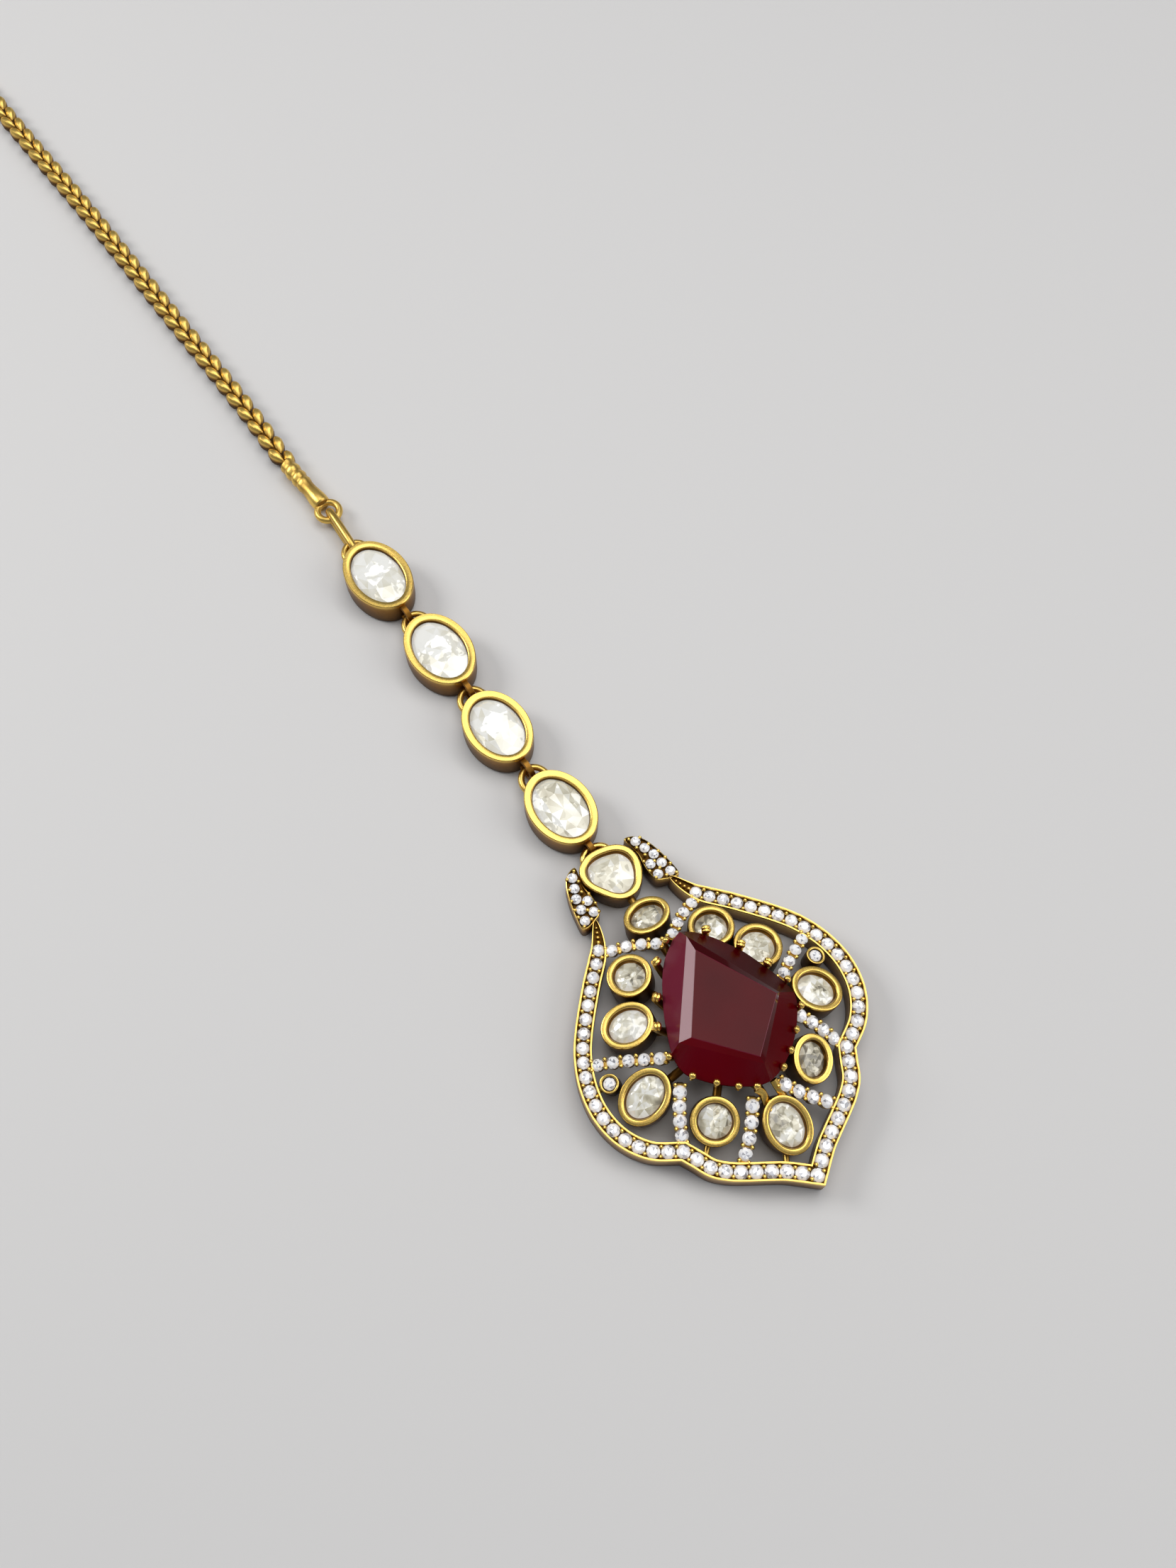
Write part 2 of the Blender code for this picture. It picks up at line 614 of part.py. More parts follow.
def loop_path(reach, height):
    """Middle line of a U loop that stands out of a wall at y = 0 by its reach, feet in the wall."""
    angle = np.linspace(0, math.pi, 9)
    arc = np.column_stack([LOOP_HALF_WIDTH * np.cos(angle), reach * np.sin(angle)])
    feet = np.array([[LOOP_HALF_WIDTH, -2.5 * LOOP_WIRE], [-LOOP_HALF_WIDTH, -2.5 * LOOP_WIRE]])
    flat = np.vstack([feet[:1], arc, feet[1:]])
    return flat_ring(flat, height)


def add_top(bm):
    """Add the top bezel's plug and the U loop behind it."""
    centre = place(TOP_PLACE)
    frame = Matrix.Translation((*centre, TOP_HEIGHT))

    def outline(inset):
        return rounded_triangle(TOP_RADIUS - inset, TOP_SIDES)

    add_cup(bm, frame, outline, TOP_HEIGHT, BEZEL_CHAMFER)
    reach = TOP_LINK_GAP * LOOP_REACH_SHARE
    wall = centre[1] + TOP_RADIUS * (1 - TOP_CORNER)
    path = loop_path(reach, LOOP_HEIGHT) + [TOP_LOOP_SHIFT, wall, 0.0]
    add_tube(bm, path, LOOP_WIRE, LOOP_WIRE, WIRE_SIDES)


def add_bezels(bm):
    """Add the plugs of the ring bezels and the tiny bezels."""
    for _, frame, length, width in ring_bezels():
        def outline(inset, length=length, width=width):
            return ellipse(length - inset, width - inset, BEZEL_SIDES)
        add_cup(bm, frame, outline, BEZEL_DEPTH, BEZEL_CHAMFER)
    for _, frame in tiny_bezels():
        def outline(inset):
            return ellipse(TINY_RADIUS - inset, TINY_RADIUS - inset, TINY_SIDES)
        add_cup(bm, frame, outline, TINY_DEPTH, BEZEL_CHAMFER / 2)


def pocket_tool():
    """Cutter for all stone pockets of the pendant."""
    bm = bmesh.new()
    proud = 0.5 * MM
    for _, frame, length, width in ring_bezels():
        line = ellipse(length - BEZEL_WALL, width - BEZEL_WALL, BEZEL_SIDES)
        add_loft(bm, [flat_ring(line, -POCKET_DEPTH), flat_ring(line, proud)], frame)
    for _, frame in tiny_bezels():
        line = ellipse(TINY_RADIUS - TINY_WALL, TINY_RADIUS - TINY_WALL, TINY_SIDES)
        add_loft(bm, [flat_ring(line, -TINY_POCKET), flat_ring(line, proud)], frame)
    line = rounded_triangle(TOP_RADIUS - BEZEL_WALL, TOP_SIDES)
    frame = Matrix.Translation((*place(TOP_PLACE), TOP_HEIGHT))
    add_loft(bm, [flat_ring(line, -POCKET_DEPTH), flat_ring(line, proud)], frame)
    girdle, rings = ruby_rings(SEAT_GAP, BASKET_FLOOR)
    add_loft(bm, rings)
    return body("pocket_cutter", bm, bpy.data.materials["gold"])


def build_setting(metal):
    """All the soldered metal of the pendant, with the pave stones in it, as one body."""
    bm = bmesh.new()
    add_border(bm)
    setting = body("pendant_setting", bm, metal)
    boolean(setting, "DIFFERENCE", channel_tool(metal), False)
    bm = bmesh.new()
    add_border_stones(bm)
    add_leaves(bm)
    add_spokes(bm)
    for bar in PAVE_BARS:
        for side in (-1, 1):
            add_bar(bm, bar, side)
    add_bezels(bm)
    add_top(bm)
    add_basket(bm)
    boolean(setting, "UNION", body("soldered_tool", bm, metal), True)
    boolean(setting, "DIFFERENCE", pocket_tool(), False)
    return setting


def cut_stone(name, outline, metal, frame):
    """A clear stone with a table, a crown, a girdle and a flat back, from an outline function."""
    bm = bmesh.new()
    crown = STONE_THICK * 0.35
    rings = [flat_ring(outline(0.72), -STONE_THICK), flat_ring(outline(1.0), -crown),
             flat_ring(outline(STONE_TABLE_SHARE), 0.0)]
    add_loft(bm, rings)
    stone = body(name, bm, metal)
    stone.matrix_world = frame @ Matrix.Translation((0, 0, -STONE_SINK))
    return stone


def build_pendant_stones(clear):
    """The clear stones of the pendant, each in its pocket."""
    for name, frame, length, width in ring_bezels():
        inset = BEZEL_WALL + SEAT_GAP

        def outline(share, length=length - inset, width=width - inset):
            return ellipse(length * share, width * share, STONE_SIDES)
        cut_stone(name, outline, clear, frame)
    for name, frame in tiny_bezels():
        radius = TINY_RADIUS - TINY_WALL - SEAT_GAP * 0.6
        bm = bmesh.new()
        rings = [flat_ring(ellipse(radius * share, radius * share, PAVE_SIDES), height)
                 for share, height in ((0.5, -TINY_POCKET * 0.7), (1.0, -PAVE_RISE), (0.58, 0.0))]
        add_loft(bm, rings)
        body(name, bm, clear).matrix_world = frame

    def top_outline(share):
        return rounded_triangle((TOP_RADIUS - BEZEL_WALL - SEAT_GAP) * share, STONE_SIDES)
    cut_stone("stone_top", top_outline, clear, Matrix.Translation((*place(TOP_PLACE), TOP_HEIGHT)))


def build_oval_link(name, metal, location, heading, gap_below):
    """Oval bezel with a U loop at its upper end (+Y) and a tongue ring at its lower end."""
    bm = bmesh.new()

    def outline(inset):
        return ellipse(OVAL_HALF_WIDTH - inset, OVAL_HALF_LENGTH - inset, OVAL_SIDES)

    frame = Matrix.Translation((0, 0, OVAL_HEIGHT))
    add_cup(bm, frame, outline, OVAL_HEIGHT, BEZEL_CHAMFER)
    path = loop_path(LINK_GAP * LOOP_REACH_SHARE, LOOP_HEIGHT) + [0, OVAL_HALF_LENGTH, 0]
    add_tube(bm, path, LOOP_WIRE, LOOP_WIRE, WIRE_SIDES)
    link = body(name, bm, metal, location, heading)
    bm = bmesh.new()
    radius = (gap_below * TONGUE_REACH_SHARE + TONGUE_WIRE) / 2
    angle = np.arange(12) * 2 * math.pi / 12
    centre = -OVAL_HALF_LENGTH - radius + TONGUE_WIRE
    ring = np.column_stack([np.zeros(12), centre + radius * np.cos(angle),
                            LOOP_HEIGHT + radius * np.sin(angle)])
    add_tube(bm, ring, TONGUE_WIRE, TONGUE_WIDTH, WIRE_SIDES, closed=True)
    boolean(link, "UNION", body(name + "_tongue_tool", bm, metal, location, heading), True)
    bm = bmesh.new()
    pocket = ellipse(OVAL_HALF_WIDTH - OVAL_WALL, OVAL_HALF_LENGTH - OVAL_WALL, OVAL_SIDES)
    add_loft(bm, [flat_ring(pocket, OVAL_HEIGHT - OVAL_POCKET), flat_ring(pocket, 2 * OVAL_HEIGHT)])
    boolean(link, "DIFFERENCE", body(name + "_pocket_tool", bm, metal, location, heading), False)
    return link


def build_oval_links(metal, clear):
    """The four oval links and their stones, from the pendant upwards. Gives the last centre."""
    spot = place(TOP_PLACE) + [TOP_LOOP_SHIFT, TOP_RADIUS * (1 - TOP_CORNER)]
    gap = TOP_LINK_GAP
    for k, heading in enumerate(LINK_HEADINGS):
        along = np.array([math.cos(math.radians(heading)), math.sin(math.radians(heading))])
        spot = spot + along * (gap + OVAL_HALF_LENGTH)
        turn = math.radians(heading - 90)
        build_oval_link(f"oval_link_{k + 1}", metal, (*spot, 0), turn, gap)
        inset = OVAL_WALL + SEAT_GAP

        def outline(share):
            return ellipse((OVAL_HALF_WIDTH - inset) * share, (OVAL_HALF_LENGTH - inset) * share,
                           STONE_SIDES)
        frame = Matrix.Translation((*spot, OVAL_HEIGHT)) @ Matrix.Rotation(turn, 4, "Z")
        cut_stone(f"stone_oval_{k + 1}", outline, clear, frame)
        spot = spot + along * OVAL_HALF_LENGTH
        gap = LINK_GAP
    return spot, along


def build_jump_link(metal, loop_end, ring_centre):
    """Upright long link between the last U loop and the end cap's ring."""
    along = ring_centre - loop_end
    along /= np.linalg.norm(along)
    low = loop_end + along * (LINK_GAP * LOOP_REACH_SHARE - LOOP_WIRE) / 2
    high = ring_centre - along * (CAP_RING_RADIUS - CAP_RING_WIRE) * 0.45
    middle, half = (low + high) / 2, np.linalg.norm(high - low) / 2
    angle = np.arange(16) * 2 * math.pi / 16
    run = np.sign(np.cos(angle)) * np.abs(np.cos(angle)) ** 0.7 * half
    lift = np.sign(np.sin(angle)) * np.abs(np.sin(angle)) ** 0.7 * JUMP_HALF_HEIGHT
    height = JUMP_HALF_HEIGHT + JUMP_WIRE
    path = np.column_stack([middle[0] + along[0] * run, middle[1] + along[1] * run, height + lift])
    bm = bmesh.new()
    add_tube(bm, path, JUMP_WIRE, JUMP_WIRE, WIRE_SIDES, closed=True)
    return body("jump_link", bm, metal)


def circle_path(centre, radius, height, count=14):
    """Points of a level circle."""
    return flat_ring(centre + ellipse(radius, radius, count), height)


def build_end_cap(metal, ring_centre):
    """Wound end cap: a turned body with ridges and a level ring. Gives where the chain starts."""
    along = np.array([math.cos(math.radians(CAP_HEADING)), math.sin(math.radians(CAP_HEADING))])
    bm = bmesh.new()
    circle = ellipse(CAP_RADIUS, CAP_RADIUS, CAP_SIDES)
    frame = Matrix.Translation((*ring_centre, CAP_RADIUS)) @ Matrix.Rotation(
        math.radians(CAP_HEADING - 90), 4, "Z") @ Matrix.Rotation(-math.pi / 2, 4, "X")
    add_loft(bm, [flat_ring(circle * width, share * CAP_LENGTH) for share, width in CAP_SECTIONS],
             frame)
    cap = body("end_cap", bm, metal)
    bm = bmesh.new()
    path = circle_path(ring_centre, CAP_RING_RADIUS, CAP_RADIUS)
    add_tube(bm, path, CAP_RING_WIRE, CAP_RING_WIRE, WIRE_SIDES, closed=True)
    boolean(cap, "UNION", body("cap_ring_tool", bm, metal), True)
    return ring_centre + along * (CAP_LENGTH + CHAIN_GAP)


def chain_line(start):
    """Even points on the chain's middle line, from the end cap to the hook's end."""
    route = np.array(CHAIN_ROUTE) * MM - [0, SEAT_FROM_TIP]
    route = route - route[0] + start
    dense = smooth_line(route, CHAIN_PITCH / 20)
    count = int(line_length(dense) / CHAIN_PITCH)
    return dense, count


def build_chain(metal, start):
    """Woven chain: two staggered rows of grains on a core, with a level ring at its far end."""
    dense, count = chain_line(start)
    centre_height = GRAIN_HALF_HEIGHT
    bm = bmesh.new()
    core = even_points(dense, count + 1)
    add_tube(bm, flat_ring(core, centre_height), CORE_RADIUS, CORE_RADIUS, 4)
    spots = even_points(dense, 2 * count + 1)
    for k in range(1, 2 * count):
        side = 1 if k % 2 else -1
        run = spots[k + 1] - spots[k - 1]
        heading = math.atan2(run[1], run[0])
        out = np.array([math.cos(heading - side * math.pi / 2), math.sin(heading - side * math.pi / 2)])
        centre = spots[k] + out * CHAIN_ROW_OFFSET
        turn = (Matrix.Translation((*centre, centre_height))
                @ Matrix.Rotation(heading - side * GRAIN_TURN, 4, "Z"))
        section = ellipse(GRAIN_HALF_WIDTH, GRAIN_HALF_HEIGHT, GRAIN_SIDES)
        rings = [np.column_stack([np.full(GRAIN_SIDES, GRAIN_HALF_LENGTH * along),
                                  section * width]) for along, width in GRAIN_STATIONS]
        add_loft(bm, rings, turn)
    chain = body("chain", bm, metal)
    end_run = spots[-1] - spots[-3]
    end_run /= np.linalg.norm(end_run)
    ring_centre = spots[-1] + end_run * (END_RING_RADIUS - END_RING_WIRE)
    bm = bmesh.new()
    path = circle_path(ring_centre, END_RING_RADIUS, centre_height)
    add_tube(bm, path, END_RING_WIRE, END_RING_WIRE, WIRE_SIDES, closed=True)
    boolean(chain, "UNION", body("end_ring_tool", bm, metal), True)
    return ring_centre, end_run


def build_hook(metal, ring_centre, along):
    """Plain hair hook lying flat, with an upright eye through the chain's end ring."""
    height = GRAIN_HALF_HEIGHT
    across = np.array([-along[1], along[0]])
    eye = ring_centre + along * (HOOK_EYE_RADIUS + END_RING_RADIUS * 0.28)
    angle = np.arange(12) * 2 * math.pi / 12
    run = HOOK_EYE_RADIUS * np.cos(angle)
    ring = np.column_stack([eye[0] + along[0] * run, eye[1] + along[1] * run,
                            HOOK_EYE_RADIUS + HOOK_EYE_WIRE + HOOK_EYE_RADIUS * np.sin(angle)])
    bm = bmesh.new()
    add_tube(bm, ring, HOOK_EYE_WIRE, HOOK_EYE_WIRE, WIRE_SIDES, closed=True)
    hook = body("hair_hook", bm, metal)
    shank_start = eye + along * HOOK_EYE_RADIUS
    turn = np.linspace(-math.pi / 2, math.pi / 2, 9)
    bend_centre = shank_start + along * HOOK_LENGTH + across * HOOK_BEND_RADIUS
    bend = [bend_centre + along * HOOK_BEND_RADIUS * math.cos(t)
            + across * HOOK_BEND_RADIUS * math.sin(t) for t in turn]
    back = bend[-1] - along * HOOK_RETURN
    flat = np.vstack([shank_start, shank_start + along * HOOK_LENGTH * 0.3, bend, back])
    level = np.full(len(flat), HOOK_WIRE)
    level[0] = height
    bm = bmesh.new()
    add_tube(bm, np.column_stack([flat, level]), HOOK_WIRE, HOOK_WIRE, WIRE_SIDES + 2)
    boolean(hook, "UNION", body("hook_shank_tool", bm, metal), True)
    return hook


def main():
    """Build every piece."""
    clear_scene()
    gold = material("gold", (0.80, 0.57, 0.20), 0.28, 1.0)
    red = material("ruby_red", (0.28, 0.004, 0.018), 0.06, 0.0)
    clear = material("clear_stone", (0.86, 0.86, 0.82), 0.05, 0.0)
    build_setting(gold)
    build_ruby(red)
    build_pendant_stones(clear)
    loop_end, along = build_oval_links(gold, clear)
    ring_centre = loop_end + along * CAP_RING_FROM_LINK
    build_jump_link(gold, loop_end, ring_centre)
    chain_start = build_end_cap(gold, ring_centre)
    ring_centre, along = build_chain(gold, chain_start)
    build_hook(gold, ring_centre, along)


main()
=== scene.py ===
"""Dressed maang tikka head jewel on a pale studio floor, built round its CAD frame."""
import math

import bmesh
import bpy
import numpy as np
from bpy.props import FloatProperty, FloatVectorProperty, PointerProperty
from mathutils import Matrix


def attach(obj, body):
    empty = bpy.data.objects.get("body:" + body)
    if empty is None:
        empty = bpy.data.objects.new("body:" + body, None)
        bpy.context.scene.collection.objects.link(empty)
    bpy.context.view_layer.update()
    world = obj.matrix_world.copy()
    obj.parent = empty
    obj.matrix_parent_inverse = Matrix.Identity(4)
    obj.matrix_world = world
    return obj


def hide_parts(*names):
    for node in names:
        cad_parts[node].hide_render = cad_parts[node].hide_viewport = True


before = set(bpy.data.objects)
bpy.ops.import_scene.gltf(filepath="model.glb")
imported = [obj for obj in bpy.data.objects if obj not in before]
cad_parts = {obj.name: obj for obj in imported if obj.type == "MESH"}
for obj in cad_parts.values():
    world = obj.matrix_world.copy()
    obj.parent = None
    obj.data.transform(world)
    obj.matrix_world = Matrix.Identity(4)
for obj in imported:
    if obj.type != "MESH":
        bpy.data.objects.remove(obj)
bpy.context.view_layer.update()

bl_info = {
    "name": "Maang Tikka",
    "version": (1, 0, 0),
    "blender": (4, 5, 0),
    "location": "3D View > Sidebar > Maang Tikka",
    "description": "Dresses a maang tikka head jewel in gold, clear stones and a red kite stone",
    "category": "Add Mesh",
}

MM = 0.001

# Middle of the border band and the places inside it, as shares of its half width and length
HALF_WIDTH = 14.75 * MM
LENGTH = 33.2 * MM
SEAT_FROM_TIP = 17.2 * MM
BAND_HALF = 0.94 * MM
BAND_TOP = 3.0 * MM
BAND_TAPER = 4.2 * MM
UPPER_LOBE = ((0.312, 1.000), (0.411, 0.912), (0.592, 0.826), (0.787, 0.726), (0.901, 0.652),
              (0.976, 0.568), (1.000, 0.478), (0.958, 0.389), (0.843, 0.314), (0.665, 0.263))
LOWER_LOBE = ((0.665, 0.263), (0.616, 0.223), (0.563, 0.179), (0.488, 0.147), (0.401, 0.121),
              (0.231, 0.077), (0.144, 0.052), (0.000, 0.000))

# Section of the band: share of its half width, share of its height, share of painted shade, brown
# where it is sunk or low
BAND_SECTION = ((0.94, 0.000, 1.0), (0.98, 0.050, 1.0), (1.00, 0.400, 0.8), (1.00, 0.800, 0.55),
                (1.00, 0.940, 0.2), (0.985, 0.980, 0.0), (0.95, 1.000, 0.0), (0.80, 1.000, 0.0),
                (0.76, 0.985, 0.0), (0.73, 0.950, 0.5), (0.70, 0.860, 1.0), (0.40, 0.840, 1.0))
PAVE_RADIUS = 0.66 * MM
PAVE_GROWS_OVER = (-15.0 * MM, 14.0 * MM)
PAVE_GROWS_BY = (1.10, 0.97)
PAVE_PITCH = 1.49 * MM
PAVE_SEAT = 2.66 * MM

# Curved pave bars of the right half by their outer end, middle and inner end
PAVE_BARS = (
    ((0.335, 0.889), (0.205, 0.865), (0.070, 0.824)),
    ((0.845, 0.610), (0.692, 0.576), (0.485, 0.520)),
    ((0.620, 0.303), (0.560, 0.360), (0.470, 0.420)),
    ((0.330, 0.160), (0.222, 0.208), (0.118, 0.270)),
)
BAR_COUNTS = (4, 5, 4, 4)
BAR_STONES = (0.63 * MM, 0.64 * MM, 0.69 * MM, 0.70 * MM)
BAR_SPANS = (25, 25, 22, 23)
BAR_HALF = 0.32 * MM
BAR_DEPTH = 1.0 * MM
BAR_OUTER_TOP = 2.95 * MM
BAR_INNER_TOP = 4.7 * MM

# Ring bezels: number, place, half length and half width as shares of BEZEL_RADIUS, turn
BEZEL_RADIUS = 2.5 * MM
RING_BEZELS = (
    (1, 0.000, 0.923, 1.02, 0.82, 0), (2, -0.340, 0.788, 0.94, 0.94, 0),
    (3, 0.340, 0.788, 0.98, 0.98, 0), (4, -0.540, 0.660, 1.12, 0.95, -8),
    (5, 0.540, 0.660, 1.03, 1.03, 0), (6, -0.702, 0.452, 1.22, 0.97, 20),
    (7, 0.708, 0.451, 1.09, 0.95, -52), (8, -0.394, 0.282, 0.98, 0.98, 0),
    (9, 0.402, 0.282, 1.01, 0.84, 58), (10, 0.003, 0.161, 1.20, 0.97, 86),
)
# Darkest and lightest painted facet reflections of each ring stone, in bezel order
RING_TONES = ((0.00, 0.48), (0.30, 0.80), (0.15, 0.90), (0.80, 1.00), (0.50, 1.00),
              (0.35, 1.00), (0.40, 1.00), (0.25, 0.85), (0.08, 0.65), (0.50, 0.95))
BEZEL_WALL = 0.86 * MM
BEZEL_TOP = 4.1 * MM
BEZEL_DEPTH = 3.1 * MM
BEZEL_LEAN = math.radians(12.0)
TINY_PLACE = (0.850, 0.542)
TINY_RADIUS = 1.0 * MM
TINY_TOP = 3.5 * MM
TOP_PLACE = (0.000, 1.102)
TOP_RADIUS = 3.2 * MM
TOP_HEIGHT = 3.1 * MM
TOP_CORNER = 0.06
TOP_ROUNDED = 0.060
TOP_SKEW = 0.052
TOP_RISE = 0.2 * MM

# Section of a bezel: share of its wall, share of its depth below the top, share of painted shade,
# more where it is sunk
BEZEL_SECTION = ((0.30, 1.00, 1.0), (0.08, 0.96, 1.0), (0.02, 0.80, 1.0), (0.00, 0.45, 0.95),
                 (0.00, 0.15, 0.80), (0.012, 0.065, 0.55), (0.050, 0.024, 0.15), (0.11, 0.006, 0.0),
                 (0.18, 0.001, 0.0), (0.30, 0.000, 0.0), (0.48, 0.000, 0.0), (0.58, 0.003, 0.0),
                 (0.67, 0.012, 0.0), (0.73, 0.032, 0.15), (0.765, 0.065, 0.8), (0.79, 0.11, 1.0),
                 (0.87, 0.15, 0.85), (0.95, 0.21, 0.80), (1.00, 0.28, 1.0))
# Section of an oval link, in the same columns; the last is its share of painted shade
LINK_SECTION = ((0.30, 1.00, 1.0), (0.08, 0.96, 1.0), (0.02, 0.80, 0.95), (0.00, 0.45, 0.85),
                (0.00, 0.15, 0.70), (0.010, 0.06, 0.35), (0.045, 0.018, 0.08), (0.12, 0.000, 0.0),
                (0.40, 0.000, 0.0), (0.72, 0.004, 0.0), (0.84, 0.020, 0.05), (0.90, 0.055, 0.6),
                (0.94, 0.090, 1.0), (1.00, 0.200, 1.0))

LEAF_HEIGHT = 2.75 * MM
LEAF_SHIFT = -0.22 * MM
LEAF_STONE = 0.55 * MM
LEAF_OUTLINE = ((3.10, 39.40), (4.10, 39.15), (4.85, 38.35), (5.35, 37.20), (5.68, 36.00),
                (5.92, 34.60), (6.02, 33.20), (5.50, 32.90), (4.50, 33.15), (3.55, 33.65),
                (3.25, 34.80), (3.25, 36.00), (3.40, 37.20), (3.20, 38.30))
LEAF_STONES = ((3.95, 38.47), (4.38, 37.34), (4.83, 36.25), (3.92, 35.48), (5.02, 35.00),
               (4.00, 34.12), (5.30, 33.75))
LEAF_BEADS = ((3.42, 39.00), (4.55, 38.55), (3.62, 37.75), (4.95, 37.45), (3.95, 36.60),
              (5.40, 36.25), (3.42, 36.05), (4.42, 35.50), (5.62, 35.25), (3.38, 34.80),
              (4.48, 34.55), (5.72, 34.40), (3.55, 33.85), (4.65, 33.50), (5.72, 33.20))
# Red stone, in mm from the pendant's tip: its girdle side by side from the top corner round by
# the left, and the corners of its bevel and table in the same order
RUBY_SIDES = (
    ((1.35, 26.75), (0.40, 26.45), (-0.40, 25.95), (-1.65, 25.00), (-2.93, 23.43),
     (-4.20, 21.33), (-5.03, 19.72), (-5.85, 17.70), (-6.15, 16.80)),
    ((-6.15, 16.80), (-6.32, 15.70), (-6.15, 14.50), (-5.60, 13.65), (-4.10, 12.05),
     (-2.45, 10.75), (-0.80, 9.82), (0.50, 9.53)),
    ((0.50, 9.53), (1.50, 9.72), (2.55, 10.15), (3.96, 11.00), (5.39, 12.20), (6.69, 13.75),
     (7.38, 14.95), (7.50, 15.60)),
    ((7.50, 15.60), (7.42, 16.60), (7.00, 18.10), (6.37, 19.85), (5.50, 21.90), (3.78, 24.60),
     (2.50, 26.00), (1.35, 26.75)),
)
BEVEL_CORNERS = ((1.00, 25.35), (-5.52, 16.85), (0.33, 10.89), (5.57, 15.85))
TABLE_CORNERS = ((0.84, 23.67), (-4.38, 16.60), (0.23, 11.56), (5.14, 15.81))
# Face tones of the red stone by side, from the top corner round by the left: painted reflections and
# highlights, brightest on the upper left side and bevel
SIDE_TONES = (0.75, 0.28, 0.16, 0.03)
BEVEL_TONES = (1.00, 0.25, 0.10, 0.03)
TABLE_TONE = 0.140
EDGE_TONES = (0.90, 0.62, 0.85, 0.70)
RUBY_MIDDLE = (0.45, 16.55)
RUBY_GIRDLE_HEIGHT = 6.3 * MM
RUBY_BEVEL_HEIGHT = 9.05 * MM
RUBY_TOP = 9.6 * MM
RUBY_BACK = 2.9 * MM
RUBY_BACK_SHARE = 0.62
BASKET_RIM = 3.9 * MM
BASKET_FOOT_SHARE = 0.60
PRONG_BALL = 0.37 * MM
PRONG_OVER = 0.55 * MM
BALL_PRONGS = ((-6.62, 16.62), (-5.70, 13.86), (-4.08, 12.10), (-2.48, 10.72), (-0.98, 9.76),
               (2.26, 9.96), (3.80, 10.94), (5.42, 12.30), (7.22, 14.02), (7.62, 16.90),
               (-0.45, 26.60))
SPLIT_PRONGS = ((-2.42, 25.28), (-4.40, 22.20), (-5.98, 19.72), (3.62, 25.45),
                (5.75, 22.35), (6.98, 19.35))
SPLIT_STEP = 0.16 * MM
SPLIT_LOBE = (0.29, 0.48, 0.38)
STRAPS = (((-0.98, 9.76, 5.6), (-0.50, 9.10, 4.9), (-0.55, 8.20, 4.1), (-0.65, 7.40, 3.7)),
          ((1.05, 9.60, 5.2), (1.10, 9.00, 4.8), (1.25, 8.10, 4.1), (1.40, 7.30, 3.7)))
STRAP_SECTION = (0.40 * MM, 0.22 * MM)
STRUTS = (((-6.6, 8.8, 1.6), (-7.75, 7.65, 1.7), (-8.9, 6.6, 1.7)),
          ((-1.1, 3.6, 1.6), (-1.77, 2.51, 1.7), (-2.4, 1.6, 1.7)),
          ((-5.0, 5.4, 2.2), (-5.51, 5.07, 2.0), (-6.3, 4.4, 2.0)))
SPOKE_STOP = 1.7 * MM
SPOKE_RADIUS = 0.45 * MM
SPOKE_HEIGHT = 1.95 * MM

# Links, findings and chain
OVAL_HALF_LENGTH = 4.65 * MM
LINK_LIPS = ((0.10, 0.10), (0.12, 0.12), (0.20, 0.34), (0.18, 0.36))
LINK_SHIFTS = ((0.0, 0.0), (0.05, 0.0), (0.30, -0.12), (0.0, 0.20))
OVAL_HALF_WIDTH = 3.45 * MM
OVAL_HEIGHT = 3.2 * MM
OVAL_WALL = 0.98 * MM
LINK_GAP = 2.65 * MM
# Darkest and lightest painted facet reflections of each link stone
LINK_TONES = ((0.50, 1.00), (0.70, 1.00), (0.72, 1.00), (0.76, 1.00))
TOP_LINK_GAP = 1.7 * MM
LINK_HEADINGS = (95.0, 94.4, 94.0, 94.8)
TOP_LOOP_SHIFT = -0.45 * MM
LOOP_HALF_WIDTH = 1.5 * MM
LOOP_HEIGHT = 1.5 * MM
LOOP_REACH_SHARE = 0.66
TONGUE_WIRE = 0.29 * MM
TONGUE_WIDTH = 0.34 * MM
TONGUE_REACH_SHARE = 0.78
JUMP_WIRE = 0.50 * MM
JUMP_HALF_HEIGHT = 0.74 * MM
CAP_RING_RADIUS = 1.30 * MM
CAP_RING_WIRE = 0.42 * MM
CAP_RING_FROM_LINK = 7.70 * MM
CAP_RING_SHIFT = 0.62 * MM
CAP_HEADING = 97.6
CAP_LENGTH = 8.85 * MM
CAP_RADIUS = 1.1 * MM
CAP_SECTIONS = ((0.112, 0.50), (0.122, 0.80), (0.145, 0.95), (0.20, 1.00), (0.28, 0.97),
                (0.36, 0.89), (0.43, 0.82), (0.49, 0.80), (0.535, 0.86), (0.575, 0.92),
                (0.60, 0.88), (0.62, 0.82), (0.645, 0.86), (0.68, 0.95), (0.705, 0.95),
                (0.73, 0.88), (0.755, 0.82), (0.78, 0.87), (0.815, 0.97), (0.85, 0.97),
                (0.88, 0.89), (0.905, 0.83), (0.935, 0.89), (0.975, 0.92), (1.00, 0.78))
CHAIN_GAP = -1.0 * MM
CHAIN_ROUTE = ((-5.23, 101.6), (-5.45, 106.0), (-5.7, 111.0), (-6.07, 116.1), (-6.49, 121.3),
               (-6.95, 126.4), (-7.4, 131.5), (-7.82, 136.5), (-8.25, 141.5), (-9.4, 154.5),
               (-10.52, 164.9), (-11.6, 175.2), (-12.2, 181.0))
CHAIN_PITCH = 2.52 * MM
CHAIN_ROW_OFFSET = 0.5 * MM
CHAIN_HEIGHT = 0.95 * MM
END_RING_RADIUS = 1.15 * MM
END_RING_WIRE = 0.26 * MM
HOOK_EYE_RADIUS = 0.9 * MM
HOOK_EYE_WIRE = 0.28 * MM
HOOK_LENGTH = 13.0 * MM
